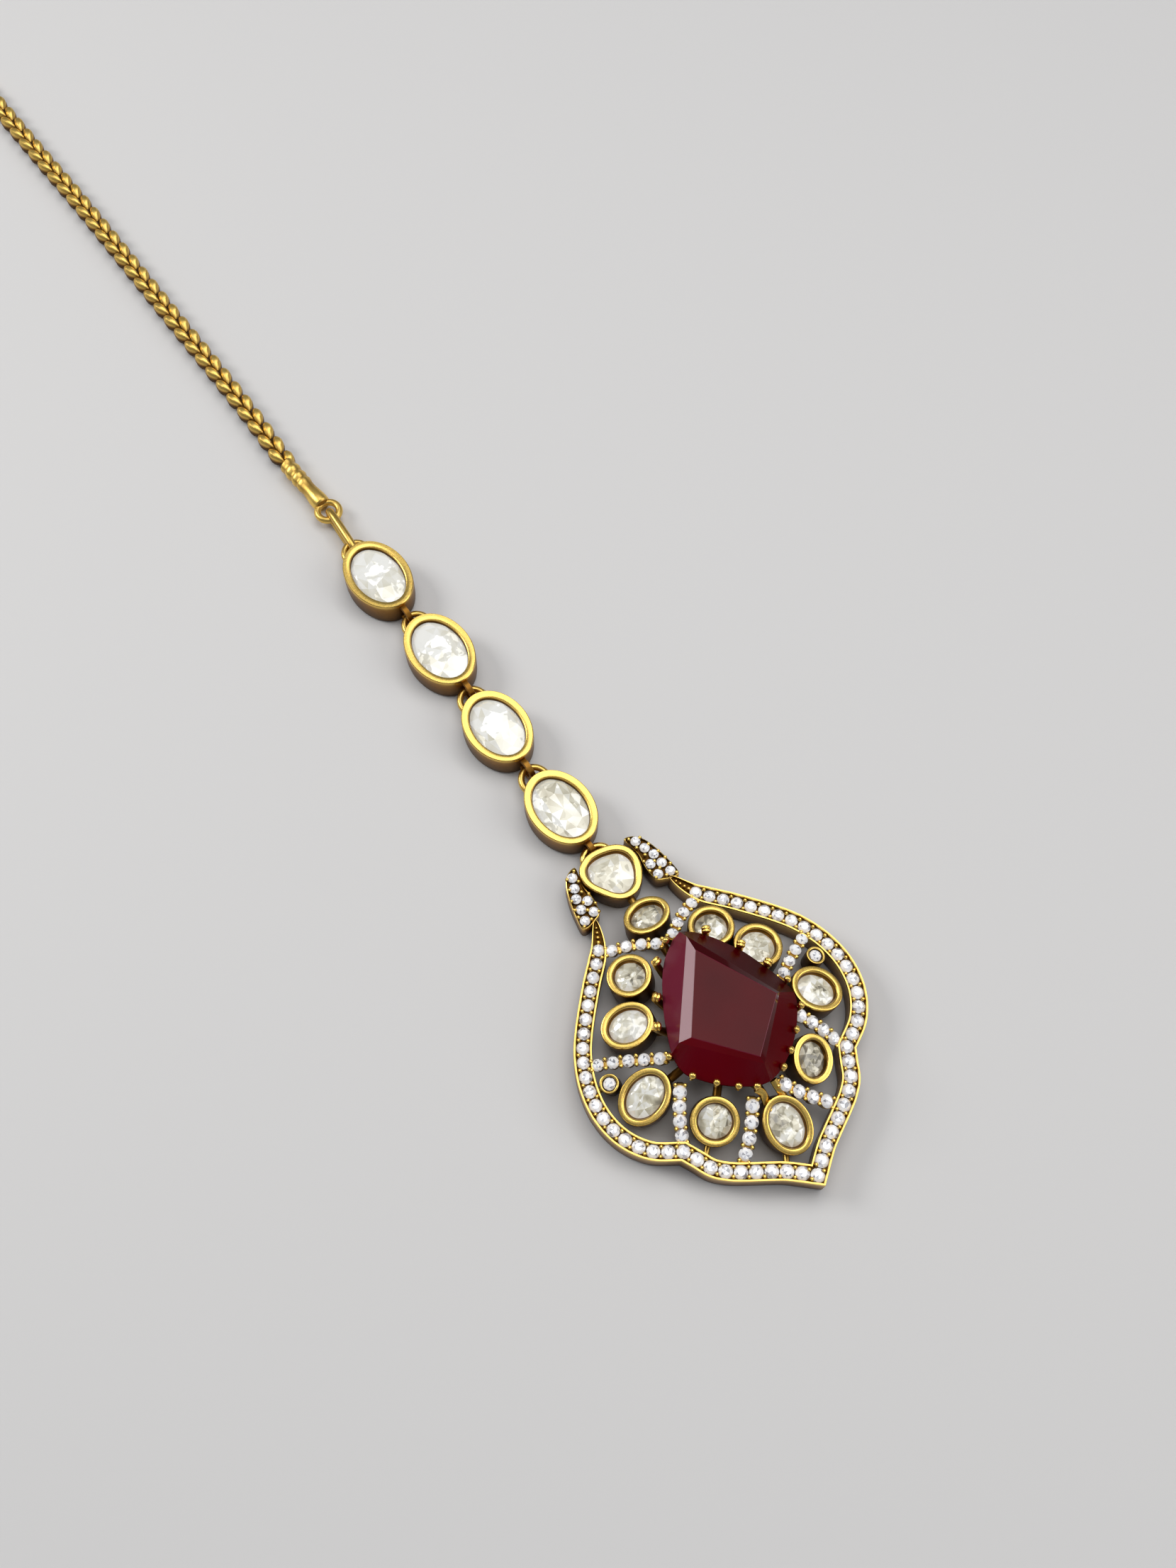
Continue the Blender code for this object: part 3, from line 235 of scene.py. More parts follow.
HOOK_BEND_RADIUS = 1.9 * MM
HOOK_RETURN = 6.0 * MM

# Camera of the photograph
CAMERA_PLACE = (-31.32 * MM, -22.61 * MM, 143.0 * MM)
CAMERA_TURN = (23.993, -0.610, -31.927)
CAMERA_LENS = 32.55


class TikkaSizes(bpy.types.PropertyGroup):
    """Sizes of the dressed jewel that a user would change."""
    pave_rise: FloatProperty(name="Pave rise", description="Height of a pave stone's crown",
                             default=0.36 * MM, min=0.0, unit="LENGTH")
    bead_radius: FloatProperty(name="Bead radius", description="Radius of the beads between stones",
                               default=0.23 * MM, min=0.0, unit="LENGTH")
    stone_sink: FloatProperty(name="Stone sink", description="How deep a stone sits below its rim",
                              default=0.34 * MM, min=0.0, unit="LENGTH")
    stone_crown: FloatProperty(name="Stone crown", description="Height of a bezel stone's crown",
                               default=0.30 * MM, min=0.0, unit="LENGTH")
    loop_wire: FloatProperty(name="Loop wire", description="Radius of the U loops' wire",
                             default=0.37 * MM, min=0.0, unit="LENGTH")
    hook_wire: FloatProperty(name="Hook wire", description="Radius of the hair hook's wire",
                             default=0.4 * MM, min=0.0, unit="LENGTH")


class TikkaFinishes(bpy.types.PropertyGroup):
    """Colours of the dressed jewel."""
    gold: FloatVectorProperty(name="Gold", description="Polished gold", subtype="COLOR",
                              default=(0.92, 0.63, 0.16))
    # Painted shade: the gold's colour darkened brown in recesses, on low walls and on low sides
    shaded_gold: FloatVectorProperty(name="Shaded gold", description="Gold in the hollows and low walls",
                                  subtype="COLOR", default=(0.26, 0.12, 0.02))
    ruby: FloatVectorProperty(name="Ruby", description="Red stone", subtype="COLOR",
                              default=(0.14, 0.0005, 0.004))
    ruby_plum: FloatVectorProperty(name="Ruby plum", description="Facets that catch the light",
                                   subtype="COLOR", default=(0.15, 0.010, 0.026))
    ivory: FloatVectorProperty(name="Ivory", description="Warm part of a clear stone",
                               subtype="COLOR", default=(0.78, 0.74, 0.58))
    floor: FloatVectorProperty(name="Floor", description="Plain pale floor", subtype="COLOR",
                               default=(0.74, 0.73, 0.72))


# ---- Curves and grids


def place(share):
    """Point of the pendant, from shares of the border's half width and length."""
    return np.array([share[0] * HALF_WIDTH, share[1] * LENGTH - SEAT_FROM_TIP])


def from_tip(points):
    """Points in metres, from points in mm whose second value is measured from the tip."""
    points = np.asarray(points, float) * MM
    points[..., 1] -= SEAT_FROM_TIP
    return points


def line_length(line):
    """Length of a polyline: the sum of its steps."""
    return float(np.linalg.norm(np.diff(line, axis=0), axis=1).sum())


def even_points(line, count):
    """A polyline's points respaced evenly, by interpolation over the length run so far."""
    along = np.concatenate([[0], np.cumsum(np.linalg.norm(np.diff(line, axis=0), axis=1))])
    wanted = np.linspace(0, along[-1], count)
    return np.column_stack([np.interp(wanted, along, line[:, i]) for i in range(line.shape[1])])


def smooth_line(points, count, closed=False):
    """Even points on a curve through the points: cubic weights of four neighbours a stretch."""
    knots = np.asarray(points, float)
    if closed:
        ends = np.vstack([knots[-1:], knots, knots[:2]])
    else:
        ends = np.vstack([2 * knots[0] - knots[1], knots, 2 * knots[-1] - knots[-2]])
    t = np.linspace(0, 1, 24, endpoint=False)[None, :, None]
    a, b, c, d = (ends[i:len(ends) - 3 + i, None] for i in range(4))
    dense = 0.5 * (2 * b + (c - a) * t + (2 * a - 5 * b + 4 * c - d) * t ** 2
                   + (3 * b - a - 3 * c + d) * t ** 3)
    dense = np.vstack([dense.reshape(-1, knots.shape[1]), ends[-2:-1]])
    return even_points(dense, count)


def unit(vectors):
    """Vectors divided by their lengths."""
    return vectors / np.linalg.norm(vectors, axis=-1, keepdims=True)


def left_normals(line):
    """Unit normals on the left of a plane polyline: its run turned a quarter."""
    run = unit(np.gradient(line, axis=0))
    return np.column_stack([-run[:, 1], run[:, 0]])


def lengthened(line, amount):
    """A polyline with a straight piece added at both ends."""
    first = line[:1] + unit(line[:1] - line[1:2]) * amount
    last = line[-1:] + unit(line[-1:] - line[-2:-1]) * amount
    return np.vstack([first, line, last])


def crossing(line_a, line_b):
    """First crossing of two plane polylines, from the shares along each pair of steps."""
    step_a, step_b = np.diff(line_a, axis=0)[:, None], np.diff(line_b, axis=0)[None]
    gap = line_b[None, :-1] - line_a[:-1, None]
    cross = step_a[..., 0] * step_b[..., 1] - step_a[..., 1] * step_b[..., 0]
    cross = np.where(np.abs(cross) < 1e-18, 1e-18, cross)
    t = (gap[..., 0] * step_b[..., 1] - gap[..., 1] * step_b[..., 0]) / cross
    u = (gap[..., 0] * step_a[..., 1] - gap[..., 1] * step_a[..., 0]) / cross
    hits = np.argwhere((t >= 0) & (t <= 1) & (u >= 0) & (u <= 1))
    if not len(hits):
        raise ValueError("the lines do not cross")
    i, j = hits[0]
    return i, j, line_a[i] + t[i, j] * (line_a[i + 1] - line_a[i])


def level(outline, height):
    """A plane outline lifted to a height."""
    return np.column_stack([outline, np.full(len(outline), height)])


def turn_about(axis, angle):
    """Rotation matrix about an axis, by Rodrigues' formula."""
    x, y, z = axis / np.linalg.norm(axis)
    cross = np.array([[0, -z, y], [z, 0, -x], [-y, x, 0]])
    return np.eye(3) + math.sin(angle) * cross + (1 - math.cos(angle)) * cross @ cross


class Shape:
    """Points and faces of a piece, with a tone for each face and a share of painted shade for each
    point.
    """

    def __init__(self):
        self.points, self.faces, self.tones, self.hollows = [], [], [], []
        self.count = 0

    def add(self, points, faces, tones=0.5, hollows=0.0):
        """Add a body. Faces are lists of its own point numbers."""
        points = np.asarray(points, float).reshape(-1, 3)
        self.points.append(points)
        self.faces += [[k + self.count for k in face] for face in faces]
        self.tones.append(np.broadcast_to(tones, len(faces)).astype(float))
        self.hollows.append(np.broadcast_to(hollows, len(points)).astype(float))
        self.count += len(points)

    def add_rings(self, rings, loop=False, hollows=None):
        """Add a grid of closed rings: quads join ring to ring, and flat caps close the ends."""
        rings = np.asarray(rings, float)
        rows, columns = rings.shape[:2]
        r, c = np.meshgrid(np.arange(rows if loop else rows - 1), np.arange(columns),
                           indexing="ij")
        r2, c2 = (r + 1) % rows, (c + 1) % columns
        quads = np.stack([r * columns + c, r * columns + c2, r2 * columns + c2,
                          r2 * columns + c], axis=-1).reshape(-1, 4).tolist()
        if not loop:
            quads += [list(range(columns))[::-1], list(range((rows - 1) * columns, rows * columns))]
        shade = 0.0 if hollows is None else np.broadcast_to(
            np.asarray(hollows, float).reshape(rows, -1), (rows, columns)).ravel()
        self.add(rings, quads, 0.5, shade)

    def scatter(self, points, faces, centres, sizes=1.0, frames=None, tones=0.5, hollows=0.0):
        """Add copies of a small body: its points times size, turned by a frame, at each centre."""
        centres = np.asarray(centres, float).reshape(-1, 3)
        count = len(centres)
        sizes = np.broadcast_to(sizes, count)
        frames = np.broadcast_to(np.eye(3) if frames is None else frames, (count, 3, 3))
        spread = np.einsum("nij,pj->npi", frames, points) * sizes[:, None, None] + centres[:, None]
        tones = np.broadcast_to(tones, (count, len(faces)))
        base = len(points)
        every = [[k + i * base for k in face] for i in range(count) for face in faces]
        self.add(spread, every, tones.ravel(), hollows)


def sweep(path, section, upright=(0.0, 0.0, 1.0), loop=False, swell=None):
    """Rings of a section carried along a path: its first value sideways, its second upwards."""
    path = np.asarray(path, float)
    if loop:
        run = np.roll(path, -1, axis=0) - np.roll(path, 1, axis=0)
    else:
        run = np.gradient(path, axis=0)
    run = unit(run)
    side = unit(np.cross(run, upright))
    up = np.cross(side, run)
    swell = np.ones(len(path)) if swell is None else np.asarray(swell, float)
    flat = np.asarray(section)[None] * swell[:, None, None]
    return path[:, None] + side[:, None] * flat[..., :1] + up[:, None] * flat[..., 1:]


def ellipse(half_length, half_width, count, turn=0.0):
    """Points of an ellipse round the origin."""
    angle = np.arange(count) * 2 * math.pi / count + turn
    return np.column_stack([half_length * np.cos(angle), half_width * np.sin(angle)])


def oval(half_length, half_width):
    """Outline function of an oval: its points at given angles, drawn in by an inset."""
    def outline(angle, inset=0.0):
        return np.column_stack([(half_length - inset) * np.cos(angle),
                                (half_width - inset) * np.sin(angle)])
    return outline


def soft_triangle(radius):
    """Outline function of a rounded, slightly slanted triangle with a corner down.

    Its reach is the radius times 1 + c cos 3a - s sin 2a.
    """
    def outline(angle, inset=0.0):
        reach = radius * (1 + TOP_ROUNDED * np.cos(3 * (angle + math.pi / 2))
                          - TOP_SKEW * np.sin(2 * angle)) - inset
        return np.column_stack([reach * np.cos(angle), reach * np.sin(angle)])
    return outline


def bead(columns=7, rows=5):
    """Small ball of level rings of points, with flat poles."""
    heights = np.radians(np.linspace(-68, 68, rows))
    rings = np.stack([level(ellipse(math.cos(h), math.cos(h), columns), math.sin(h))
                      for h in heights])
    shape = Shape()
    shape.add_rings(rings)
    return shape.points[0], shape.faces


def brilliant(rise):
    """Round cut stone of radius 1: table fan, star and kite facets, girdle and pavilion cone."""
    eight = np.arange(8) * math.pi / 4
    table = level(ellipse(0.56, 0.56, 8), rise)
    middle = level(ellipse(0.82, 0.82, 8, math.pi / 8), rise * 0.52)
    girdle = level(ellipse(1.0, 1.0, 16), 0.0)
    points = np.vstack([[[0, 0, rise]], table, middle, girdle, [[0, 0, -0.75]]])
    faces = []
    for k in range(8):
        n = (k + 1) % 8
        t, t2, m, m2 = 1 + k, 1 + n, 9 + k, 9 + n
        g0, g1, g2 = 17 + 2 * k, 18 + 2 * k, 17 + (2 * k + 2) % 16
        faces += [[0, t, t2], [t, m, t2], [t2, m, g2, m2], [m, g0, g1], [m, g1, g2],
                  [g0, 33, g1], [g1, 33, g2]]
    return points, faces


def brilliant_tones(count, seed):
    """Face tones of many brilliants, painted facet reflections: mostly white, with some dark slivers,
    from a fixed seed.
    """
    rng = np.random.default_rng(seed)
    light = rng.uniform(0.62, 1.0, (count, 56))
    dark = rng.uniform(0.12, 0.45, (count, 56))
    share = np.tile([0.26, 0.22, 0.12, 0.16, 0.20, 0.3, 0.3], 8)
    return np.where(rng.uniform(size=(count, 56)) < share, dark, light)


def facets(shape, outline, rings, count, seed, wobble, tones, centre=(0.0, 0.0)):
    """Add a cut stone: a table fan, triangles between rings turned by half a step, a flat back.

    Each ring is (share of the outline, height). Inner rings are shifted at random by the wobble.
    """
    rng = np.random.default_rng(seed)
    points, faces = [np.array([[*centre, rings[0][1]]])], []
    for i, (share, height) in enumerate(rings):
        angle = (np.arange(count) + 0.5 * (i % 2)) * 2 * math.pi / count
        inside = i < len(rings) - 3
        angle = angle + rng.uniform(-1, 1, count) * wobble * inside * 3 / count
        share = share / math.cos(math.pi / count) if i >= len(rings) - 3 else share
        ring = outline(angle) * (share * (1 + rng.uniform(-1, 1, count) * wobble * inside))[:, None]
        points.append(level(ring, height))
    for k in range(count):
        n = (k + 1) % count
        faces.append([0, 1 + k, 1 + n])
        for i in range(len(rings) - 1):
            a, b = 1 + i * count, 1 + (i + 1) * count
            if i % 2:
                faces += [[a + k, b + k, b + n], [a + k, b + n, a + n]]
            else:
                faces += [[a + k, b + k, a + n], [b + k, b + n, a + n]]
    faces.append([1 + (len(rings) - 1) * count + k for k in range(count)])
    # Face tones are painted facet reflections; girdle, pavilion and back faces are darkened further
    # at random as painted shade at the stone's edge
    low, high = tones
    shades = rng.uniform(low, high, len(faces))
    outer = [len(rings) - 3 <= i for _ in range(count) for i in [-1] + sorted(
        2 * list(range(len(rings) - 1)))] + [True]
    shades = np.where(outer, shades * rng.uniform(0.2, 1.0, len(faces)), shades)
    shape.add(np.vstack(points), faces, shades)


# ---- Materials


class Value:
    """A shader socket. Sums and products of it add Math nodes."""

    def __init__(self, paint, socket):
        self.paint, self.socket = paint, socket

    def join(self, operation, first, second=0.0):
        """Add a Math node."""
        return self.paint.node("ShaderNodeMath", {"operation": operation}, {0: first, 1: second})

    def __add__(self, other):
        return self.join("ADD", self, other)

    def __radd__(self, other):
        return self.join("ADD", other, self)

    def __sub__(self, other):
        return self.join("SUBTRACT", self, other)

    def __rsub__(self, other):
        return self.join("SUBTRACT", other, self)

    def __mul__(self, other):
        return self.join("MULTIPLY", self, other)

    def __rmul__(self, other):
        return self.join("MULTIPLY", other, self)

    def __pow__(self, other):
        return self.join("POWER", self, other)

    def above(self, edge):
        """1 where the value is over the edge, else 0."""
        return self.join("GREATER_THAN", self, edge)

    def clamped(self):
        """The value held between 0 and 1."""
        return self.join("MAXIMUM", self.join("MINIMUM", self, 1.0), 0.0)


class Paint:
    """Adds nodes to a new material, whose Principled shader is in shader."""

    def __init__(self, name):
        self.material = bpy.data.materials.new(name)
        self.material.use_nodes = True
        self.tree = self.material.node_tree
        self.shader = self.tree.nodes["Principled BSDF"]

    def node(self, kind, settings=None, sockets=None, output=0):
        """Add a node with its settings and its sockets' values or links, and give an output."""
        made = self.tree.nodes.new(kind)
        for key, value in (settings or {}).items():
            if key == "stops":
                self.set_stops(made.color_ramp, value)
            else:
                setattr(made, key, value)
        for key, value in (sockets or {}).items():
            self.feed(made.inputs[key], value)
        return Value(self, made.outputs[output])

    def set_stops(self, ramp, stops):
        """Set a colour ramp's stops, each a place and a colour."""
        while len(ramp.elements) < len(stops):
            ramp.elements.new(1.0)
        for element, (spot, colour) in zip(ramp.elements, stops):
            element.position = spot
            element.color = (*colour, 1.0)

    def feed(self, socket, value):
        """Link a value to a socket, or set the socket's own value."""
        if isinstance(value, Value):
            self.tree.links.new(value.socket, socket)
        elif hasattr(socket.default_value, "__len__") and len(value) == 3 and len(
                socket.default_value) == 4:
            socket.default_value = (*value, 1.0)
        else:
            socket.default_value = value

    def mix(self, share, first, second):
        """Blend two colours."""
        return self.node("ShaderNodeMix", {"data_type": "RGBA"}, {0: share, 6: first, 7: second}, 2)

    def spread(self):
        """Object coordinates."""
        return self.node("ShaderNodeTexCoord", output=3)

    def noise(self, scale, detail=2.0):
        """Noise in object coordinates."""
        return self.node("ShaderNodeTexNoise", {}, {"Vector": self.spread(), "Scale": scale,
                                                    "Detail": detail})

    def vector(self, operation, first, second):
        """Add a Vector Math node."""
        return self.node("ShaderNodeVectorMath", {"operation": operation}, {0: first, 1: second})

    def attribute(self, name):
        """A value stored on the mesh."""
        return self.node("ShaderNodeAttribute", {"attribute_name": name}, output=2)

    def bump(self, height, strength, distance):
        """Normal from a height."""
        return self.node("ShaderNodeBump", {}, {"Strength": strength, "Distance": distance,
                                                "Height": height})

    def set(self, **inputs):
        """Feed the Principled shader. Underscores stand for spaces."""
        for key, value in inputs.items():
            self.feed(self.shader.inputs[key.replace("_", " ")], value)
        return self.material


def gold_finish(finishes, name, satin):
    """Gold with painted shade: bright on rims and rails, darkened brown in recesses and on low walls,
    with fine polish marks.
    """
    paint = Paint(name)
    # Share of painted shade from the mesh, broken a little by noise; the ramp turns the gold brown
    # with it
    patch = paint.noise(420.0, 3.0)
    hollow = (paint.attribute("hollow") + (patch - 0.5) * 0.15).clamped()
    grain = paint.noise(5200.0, 2.0)
    streak = paint.noise(1500.0, 2.0)
    shade_colour = np.array(finishes.shaded_gold)
    colour = paint.node("ShaderNodeValToRGB", {"stops": (
        (0.00, tuple(finishes.gold)), (0.45, tuple((shade_colour + finishes.gold) / 2)),
        (0.75, tuple(shade_colour)), (1.00, tuple(shade_colour * 0.30)))}, {0: hollow})
    colour = paint.mix((streak - 0.5).clamped() * 1.1 * (1 - hollow), colour, (0.86, 0.44, 0.10))
    return paint.set(Base_Color=colour, Metallic=1.0,
                     Roughness=satin + hollow * 0.18 + grain * 0.10,
                     Normal=paint.bump(grain * 0.6 + streak * 0.4, 0.12, 0.00006))


def clear_finish(finishes, name, cell, warm, tilt_share, broken):
    """Clear foiled stone: facets toned as painted reflections, broken up by crisp inner ones tilted
    at random with painted tones of their own.

    The inner facets are Voronoi cells. Each has a height that rises along its own random
    direction, so that its normal is tilted as a whole.
    """
    paint = Paint(name)
    swirl = paint.node("ShaderNodeTexNoise", {}, {"Vector": paint.spread(), "Scale": 700.0,
                                                  "Detail": 1.0}, 1)
    swirl = paint.vector("MULTIPLY", paint.vector("SUBTRACT", swirl, (0.5, 0.5, 0.5)),
                         (0.0022, 0.0022, 0.0022))
    bent = paint.vector("ADD", paint.spread(), swirl)
    cells = {"Vector": bent, "Scale": cell, "Randomness": 1.0}
    chance = paint.node("ShaderNodeTexVoronoi", {"feature": "F1"}, cells, 1)
    middle = paint.node("ShaderNodeTexVoronoi", {"feature": "F1"}, cells, 2)
    offset = paint.vector("SUBTRACT", bent, middle)
    tilt = paint.vector("SUBTRACT", chance, (0.5, 0.5, 0.5))
    slope = paint.node("ShaderNodeVectorMath", {"operation": "DOT_PRODUCT"},
                       {0: offset, 1: tilt}, 1)
    inner = paint.node("ShaderNodeSeparateColor", {}, {0: chance})
    marble = paint.node("ShaderNodeTexNoise", {}, {"Vector": paint.spread(), "Scale": cell * 0.9,
                                                   "Detail": 1.0, "Distortion": 1.5})
    # Painted reflections: the facet tones, a random tone for each inner facet and a swirl of noise
    tone = (paint.attribute("tone") * 0.84 + (inner - 0.5) * broken * 0.55
            + (marble - 0.5) * broken * 2.0 + 0.10).clamped()
    colour = paint.node("ShaderNodeValToRGB", {"stops": (
        (0.00, (0.030, 0.027, 0.020)), (0.18, (0.12, 0.105, 0.075)),
        (0.40, (0.44, 0.40, 0.29)), (0.62, (0.70, 0.67, 0.54)), (0.90, (0.90, 0.90, 0.86)))},
        {0: tone})
    colour = paint.mix(warm, colour, tuple(finishes.ivory))
    # A faint glow in the stone's own colour: painted light for its sparkle
    return paint.set(Base_Color=colour, Metallic=0.10, Roughness=0.06, IOR=1.75,
                     Coat_Weight=0.4, Coat_Roughness=0.02, Emission_Color=colour,
                     Emission_Strength=0.16,
                     Normal=paint.bump(slope, tilt_share, 1.0))


def pave_finish(name):
    """White pave stones: facets painted as bright reflections with a few dark slivers, and a faint
    painted glow.
    """
    paint = Paint(name)
    colour = paint.node("ShaderNodeValToRGB", {"stops": (
        (0.00, (0.10, 0.10, 0.11)), (0.30, (0.46, 0.46, 0.50)),
        (0.55, (0.86, 0.87, 0.92)), (0.80, (1.00, 1.00, 1.00)))}, {0: paint.attribute("tone")})
    return paint.set(Base_Color=colour, Roughness=0.05, IOR=1.9, Coat_Weight=0.5,
                     Coat_Roughness=0.02, Emission_Color=colour, Emission_Strength=0.14)


def ruby_finish(finishes, name, gloss, roughness):
    """Deep red stone with painted reflections: almost black red at tone 0, plum on the lit facets, a
    pale painted highlight on the bevel.
    """
    paint = Paint(name)
    cloud = paint.noise(190.0, 1.0)
    tone = (paint.attribute("tone") + (cloud - 0.5) * 0.16).clamped()
    deep, plum = np.array(finishes.ruby), np.array(finishes.ruby_plum)
    colour = paint.node("ShaderNodeValToRGB", {"stops": (
        (0.00, tuple(0.25 * deep)), (0.25, tuple(deep)), (0.50, tuple(plum)),
        (0.75, tuple(plum * (1.15, 1.6, 1.4))), (1.00, (0.36, 0.19, 0.21)))}, {0: tone})
    return paint.set(Base_Color=colour, Roughness=roughness, IOR=1.5, Specular_IOR_Level=gloss)


def shared(name, maker, *values):
    """A material by its name, made where it isn't there yet."""
    return bpy.data.materials.get(name) or maker(*values, name)


def gold(context):
    """The gold of every piece."""
    return (bpy.data.materials.get("polished_gold")
            or gold_finish(context.scene.tikka_finishes, "polished_gold", 0.20))


def satin_gold(context):
    """The softer gold of the chain and its end cap."""
    return (bpy.data.materials.get("satin_gold")
            or gold_finish(context.scene.tikka_finishes, "satin_gold", 0.30))


def put(name, shape, material, slot, *nodes, crease=32.0):
    """Make a piece from a shape, riding on the root body in place of the given CAD nodes."""
    mesh = bpy.data.meshes.new(name)
    mesh.from_pydata(np.vstack(shape.points).tolist(), [], shape.faces)
    # Face tones: painted reflections on the stones' facets
    tone = mesh.attributes.new("tone", "FLOAT", "FACE")
    tone.data.foreach_set("value", np.concatenate(shape.tones))
    # Share of painted shade for each point, which darkens the gold brown
    hollow = mesh.attributes.new("hollow", "FLOAT", "POINT")
    hollow.data.foreach_set("value", np.concatenate(shape.hollows))
    work = bmesh.new()
    work.from_mesh(mesh)
    bmesh.ops.recalc_face_normals(work, faces=work.faces)
    work.to_mesh(mesh)
    work.free()
    mesh.shade_smooth()
    mesh.set_sharp_from_angle(angle=math.radians(crease))
    mesh.materials.append(material)
    piece = bpy.data.objects.new(name, mesh)
    bpy.context.scene.collection.objects.link(piece)
    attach(piece, "root")
    if nodes:
        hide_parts(*nodes)
    return piece


# ---- Pendant


def border_lobes():
    """Middle lines of the right half's upper and lower lobe."""
    return (smooth_line([place(p) for p in UPPER_LOBE], 160),
            smooth_line([place(p) for p in LOWER_LOBE], 90))


def border_edge(share):
    """Right half of the line at a share of the band's half width, outwards where positive.

    Each lobe is moved along its normals, less towards the tapered upper end. The two meet where
    they cross at the cusp, and end where they cross the mirror plane.
    """
    upper, lower = border_lobes()
    along = np.concatenate([[0], np.cumsum(np.linalg.norm(np.diff(upper, axis=0), axis=1))])
    full = np.sqrt(np.clip(along / BAND_TAPER, 0.004, 1.0))
    upper = upper + left_normals(upper) * (full * share * BAND_HALF)[:, None]
    lower = lengthened(lower + left_normals(lower) * share * BAND_HALF, 2 * BAND_HALF)
    last = upper[-1:] + unit(upper[-1:] - upper[-2:-1]) * 2 * BAND_HALF
    i, j, corner = crossing(np.vstack([upper, last])[::-1], lower)
    upper = np.vstack([upper[:len(upper) - i], corner])
    lower = np.vstack([corner, lower[j + 1:]])
    axis = np.array([[0.0, -LENGTH], [0.0, LENGTH]])
    i, _, tip = crossing(lower, axis)
    lower = np.vstack([lower[:i + 1], tip])
    return np.vstack([even_points(upper, 100)[:-1], even_points(lower, 52)])


def border_rings():
    """Rings of the band, from the right upper end round the tip to the left one."""
    half = [(share, height, hollow) for share, height, hollow in BAND_SECTION]
    section = half + [(-share, height, hollow) for share, height, hollow in half[::-1]]
    right = np.stack([level(border_edge(share), height * BAND_TOP)
                      for share, height, _ in section], axis=1)
    left = right[::-1][1:] * [-1, 1, 1]
    rings = np.concatenate([right, left])
    hollows = np.broadcast_to([h for _, _, h in section], rings.shape[:2])
    return rings, hollows


def border_spots():
    """Places of the border stones of the right half, from the upper end to the tip."""
    upper, lower = border_lobes()
    start = BAND_TAPER * 0.77
    dense = even_points(upper, 400)
    count = round((line_length(upper) - start) / PAVE_PITCH)
    first = round(start / line_length(upper) * 399)
    upper_spots = even_points(dense[first:], count + 1)
    lower_spots = even_points(lower, round(line_length(lower) / PAVE_PITCH) + 1)
    return np.vstack([upper_spots, lower_spots[1:]])


def pave(stones, centres, radius, rise, seed, frames=None):
    """Add a row of brilliants, each turned at random about its own axis."""
    points, faces = brilliant(rise / np.mean(radius))
    count = len(centres)
    turns = np.random.default_rng(seed).uniform(0, math.pi, count)
    spin = np.zeros((count, 3, 3))
    spin[:, 0, 0] = spin[:, 1, 1] = np.cos(turns)
    spin[:, 1, 0], spin[:, 0, 1] = np.sin(turns), -np.sin(turns)
    spin[:, 2, 2] = 1.0
    if frames is not None:
        spin = frames @ spin
    stones.scatter(points, faces, centres, radius, spin, brilliant_tones(count, seed))


def make_border(sizes):
    """Gold and stones of the border."""
    metal, stones = Shape(), Shape()
    rings, hollows = border_rings()
    metal.add_rings(rings, hollows=hollows)
    spots = border_spots()
    both = np.vstack([spots, spots[-2::-1] * [-1, 1]])
    grown = np.interp(both[:, 1], PAVE_GROWS_OVER, PAVE_GROWS_BY) * PAVE_RADIUS
    pave(stones, level(both, PAVE_SEAT), grown, sizes.pave_rise, 11)
    between = (both[1:] + both[:-1]) / 2
    side = left_normals(both)
    side = unit(side[1:] + side[:-1])
    reach = PAVE_RADIUS * 0.72
    beads = np.vstack([between + side * reach, between - side * reach])
    ball, faces = bead()
    metal.scatter(ball, faces, level(beads, PAVE_SEAT + sizes.pave_rise * 0.45), sizes.bead_radius)
    upper, _ = border_lobes()
    dense = even_points(upper, 400)
    run = np.linspace(0.20, 0.58, 4) * BAND_TAPER / line_length(upper) * 399
    tail = dense[run.astype(int)]
    radii = np.linspace(0.62, 1.0, 4) * sizes.bead_radius
    for mirror in (1, -1):
        metal.scatter(ball, faces, level(tail * [mirror, 1], PAVE_SEAT + sizes.bead_radius * 0.4),
                      radii)
    return metal, stones


def seat_cup():
    """Short cup under a stone: four rings of twelve points, wider at the top."""
    shape = Shape()
    shape.add_rings(np.stack([level(ellipse(r, r, 12), h) for r, h in
                              ((0.55, -1.5), (0.85, -1.1), (1.0, -0.25), (0.97, -0.02))]))
    return shape.points[0], shape.faces


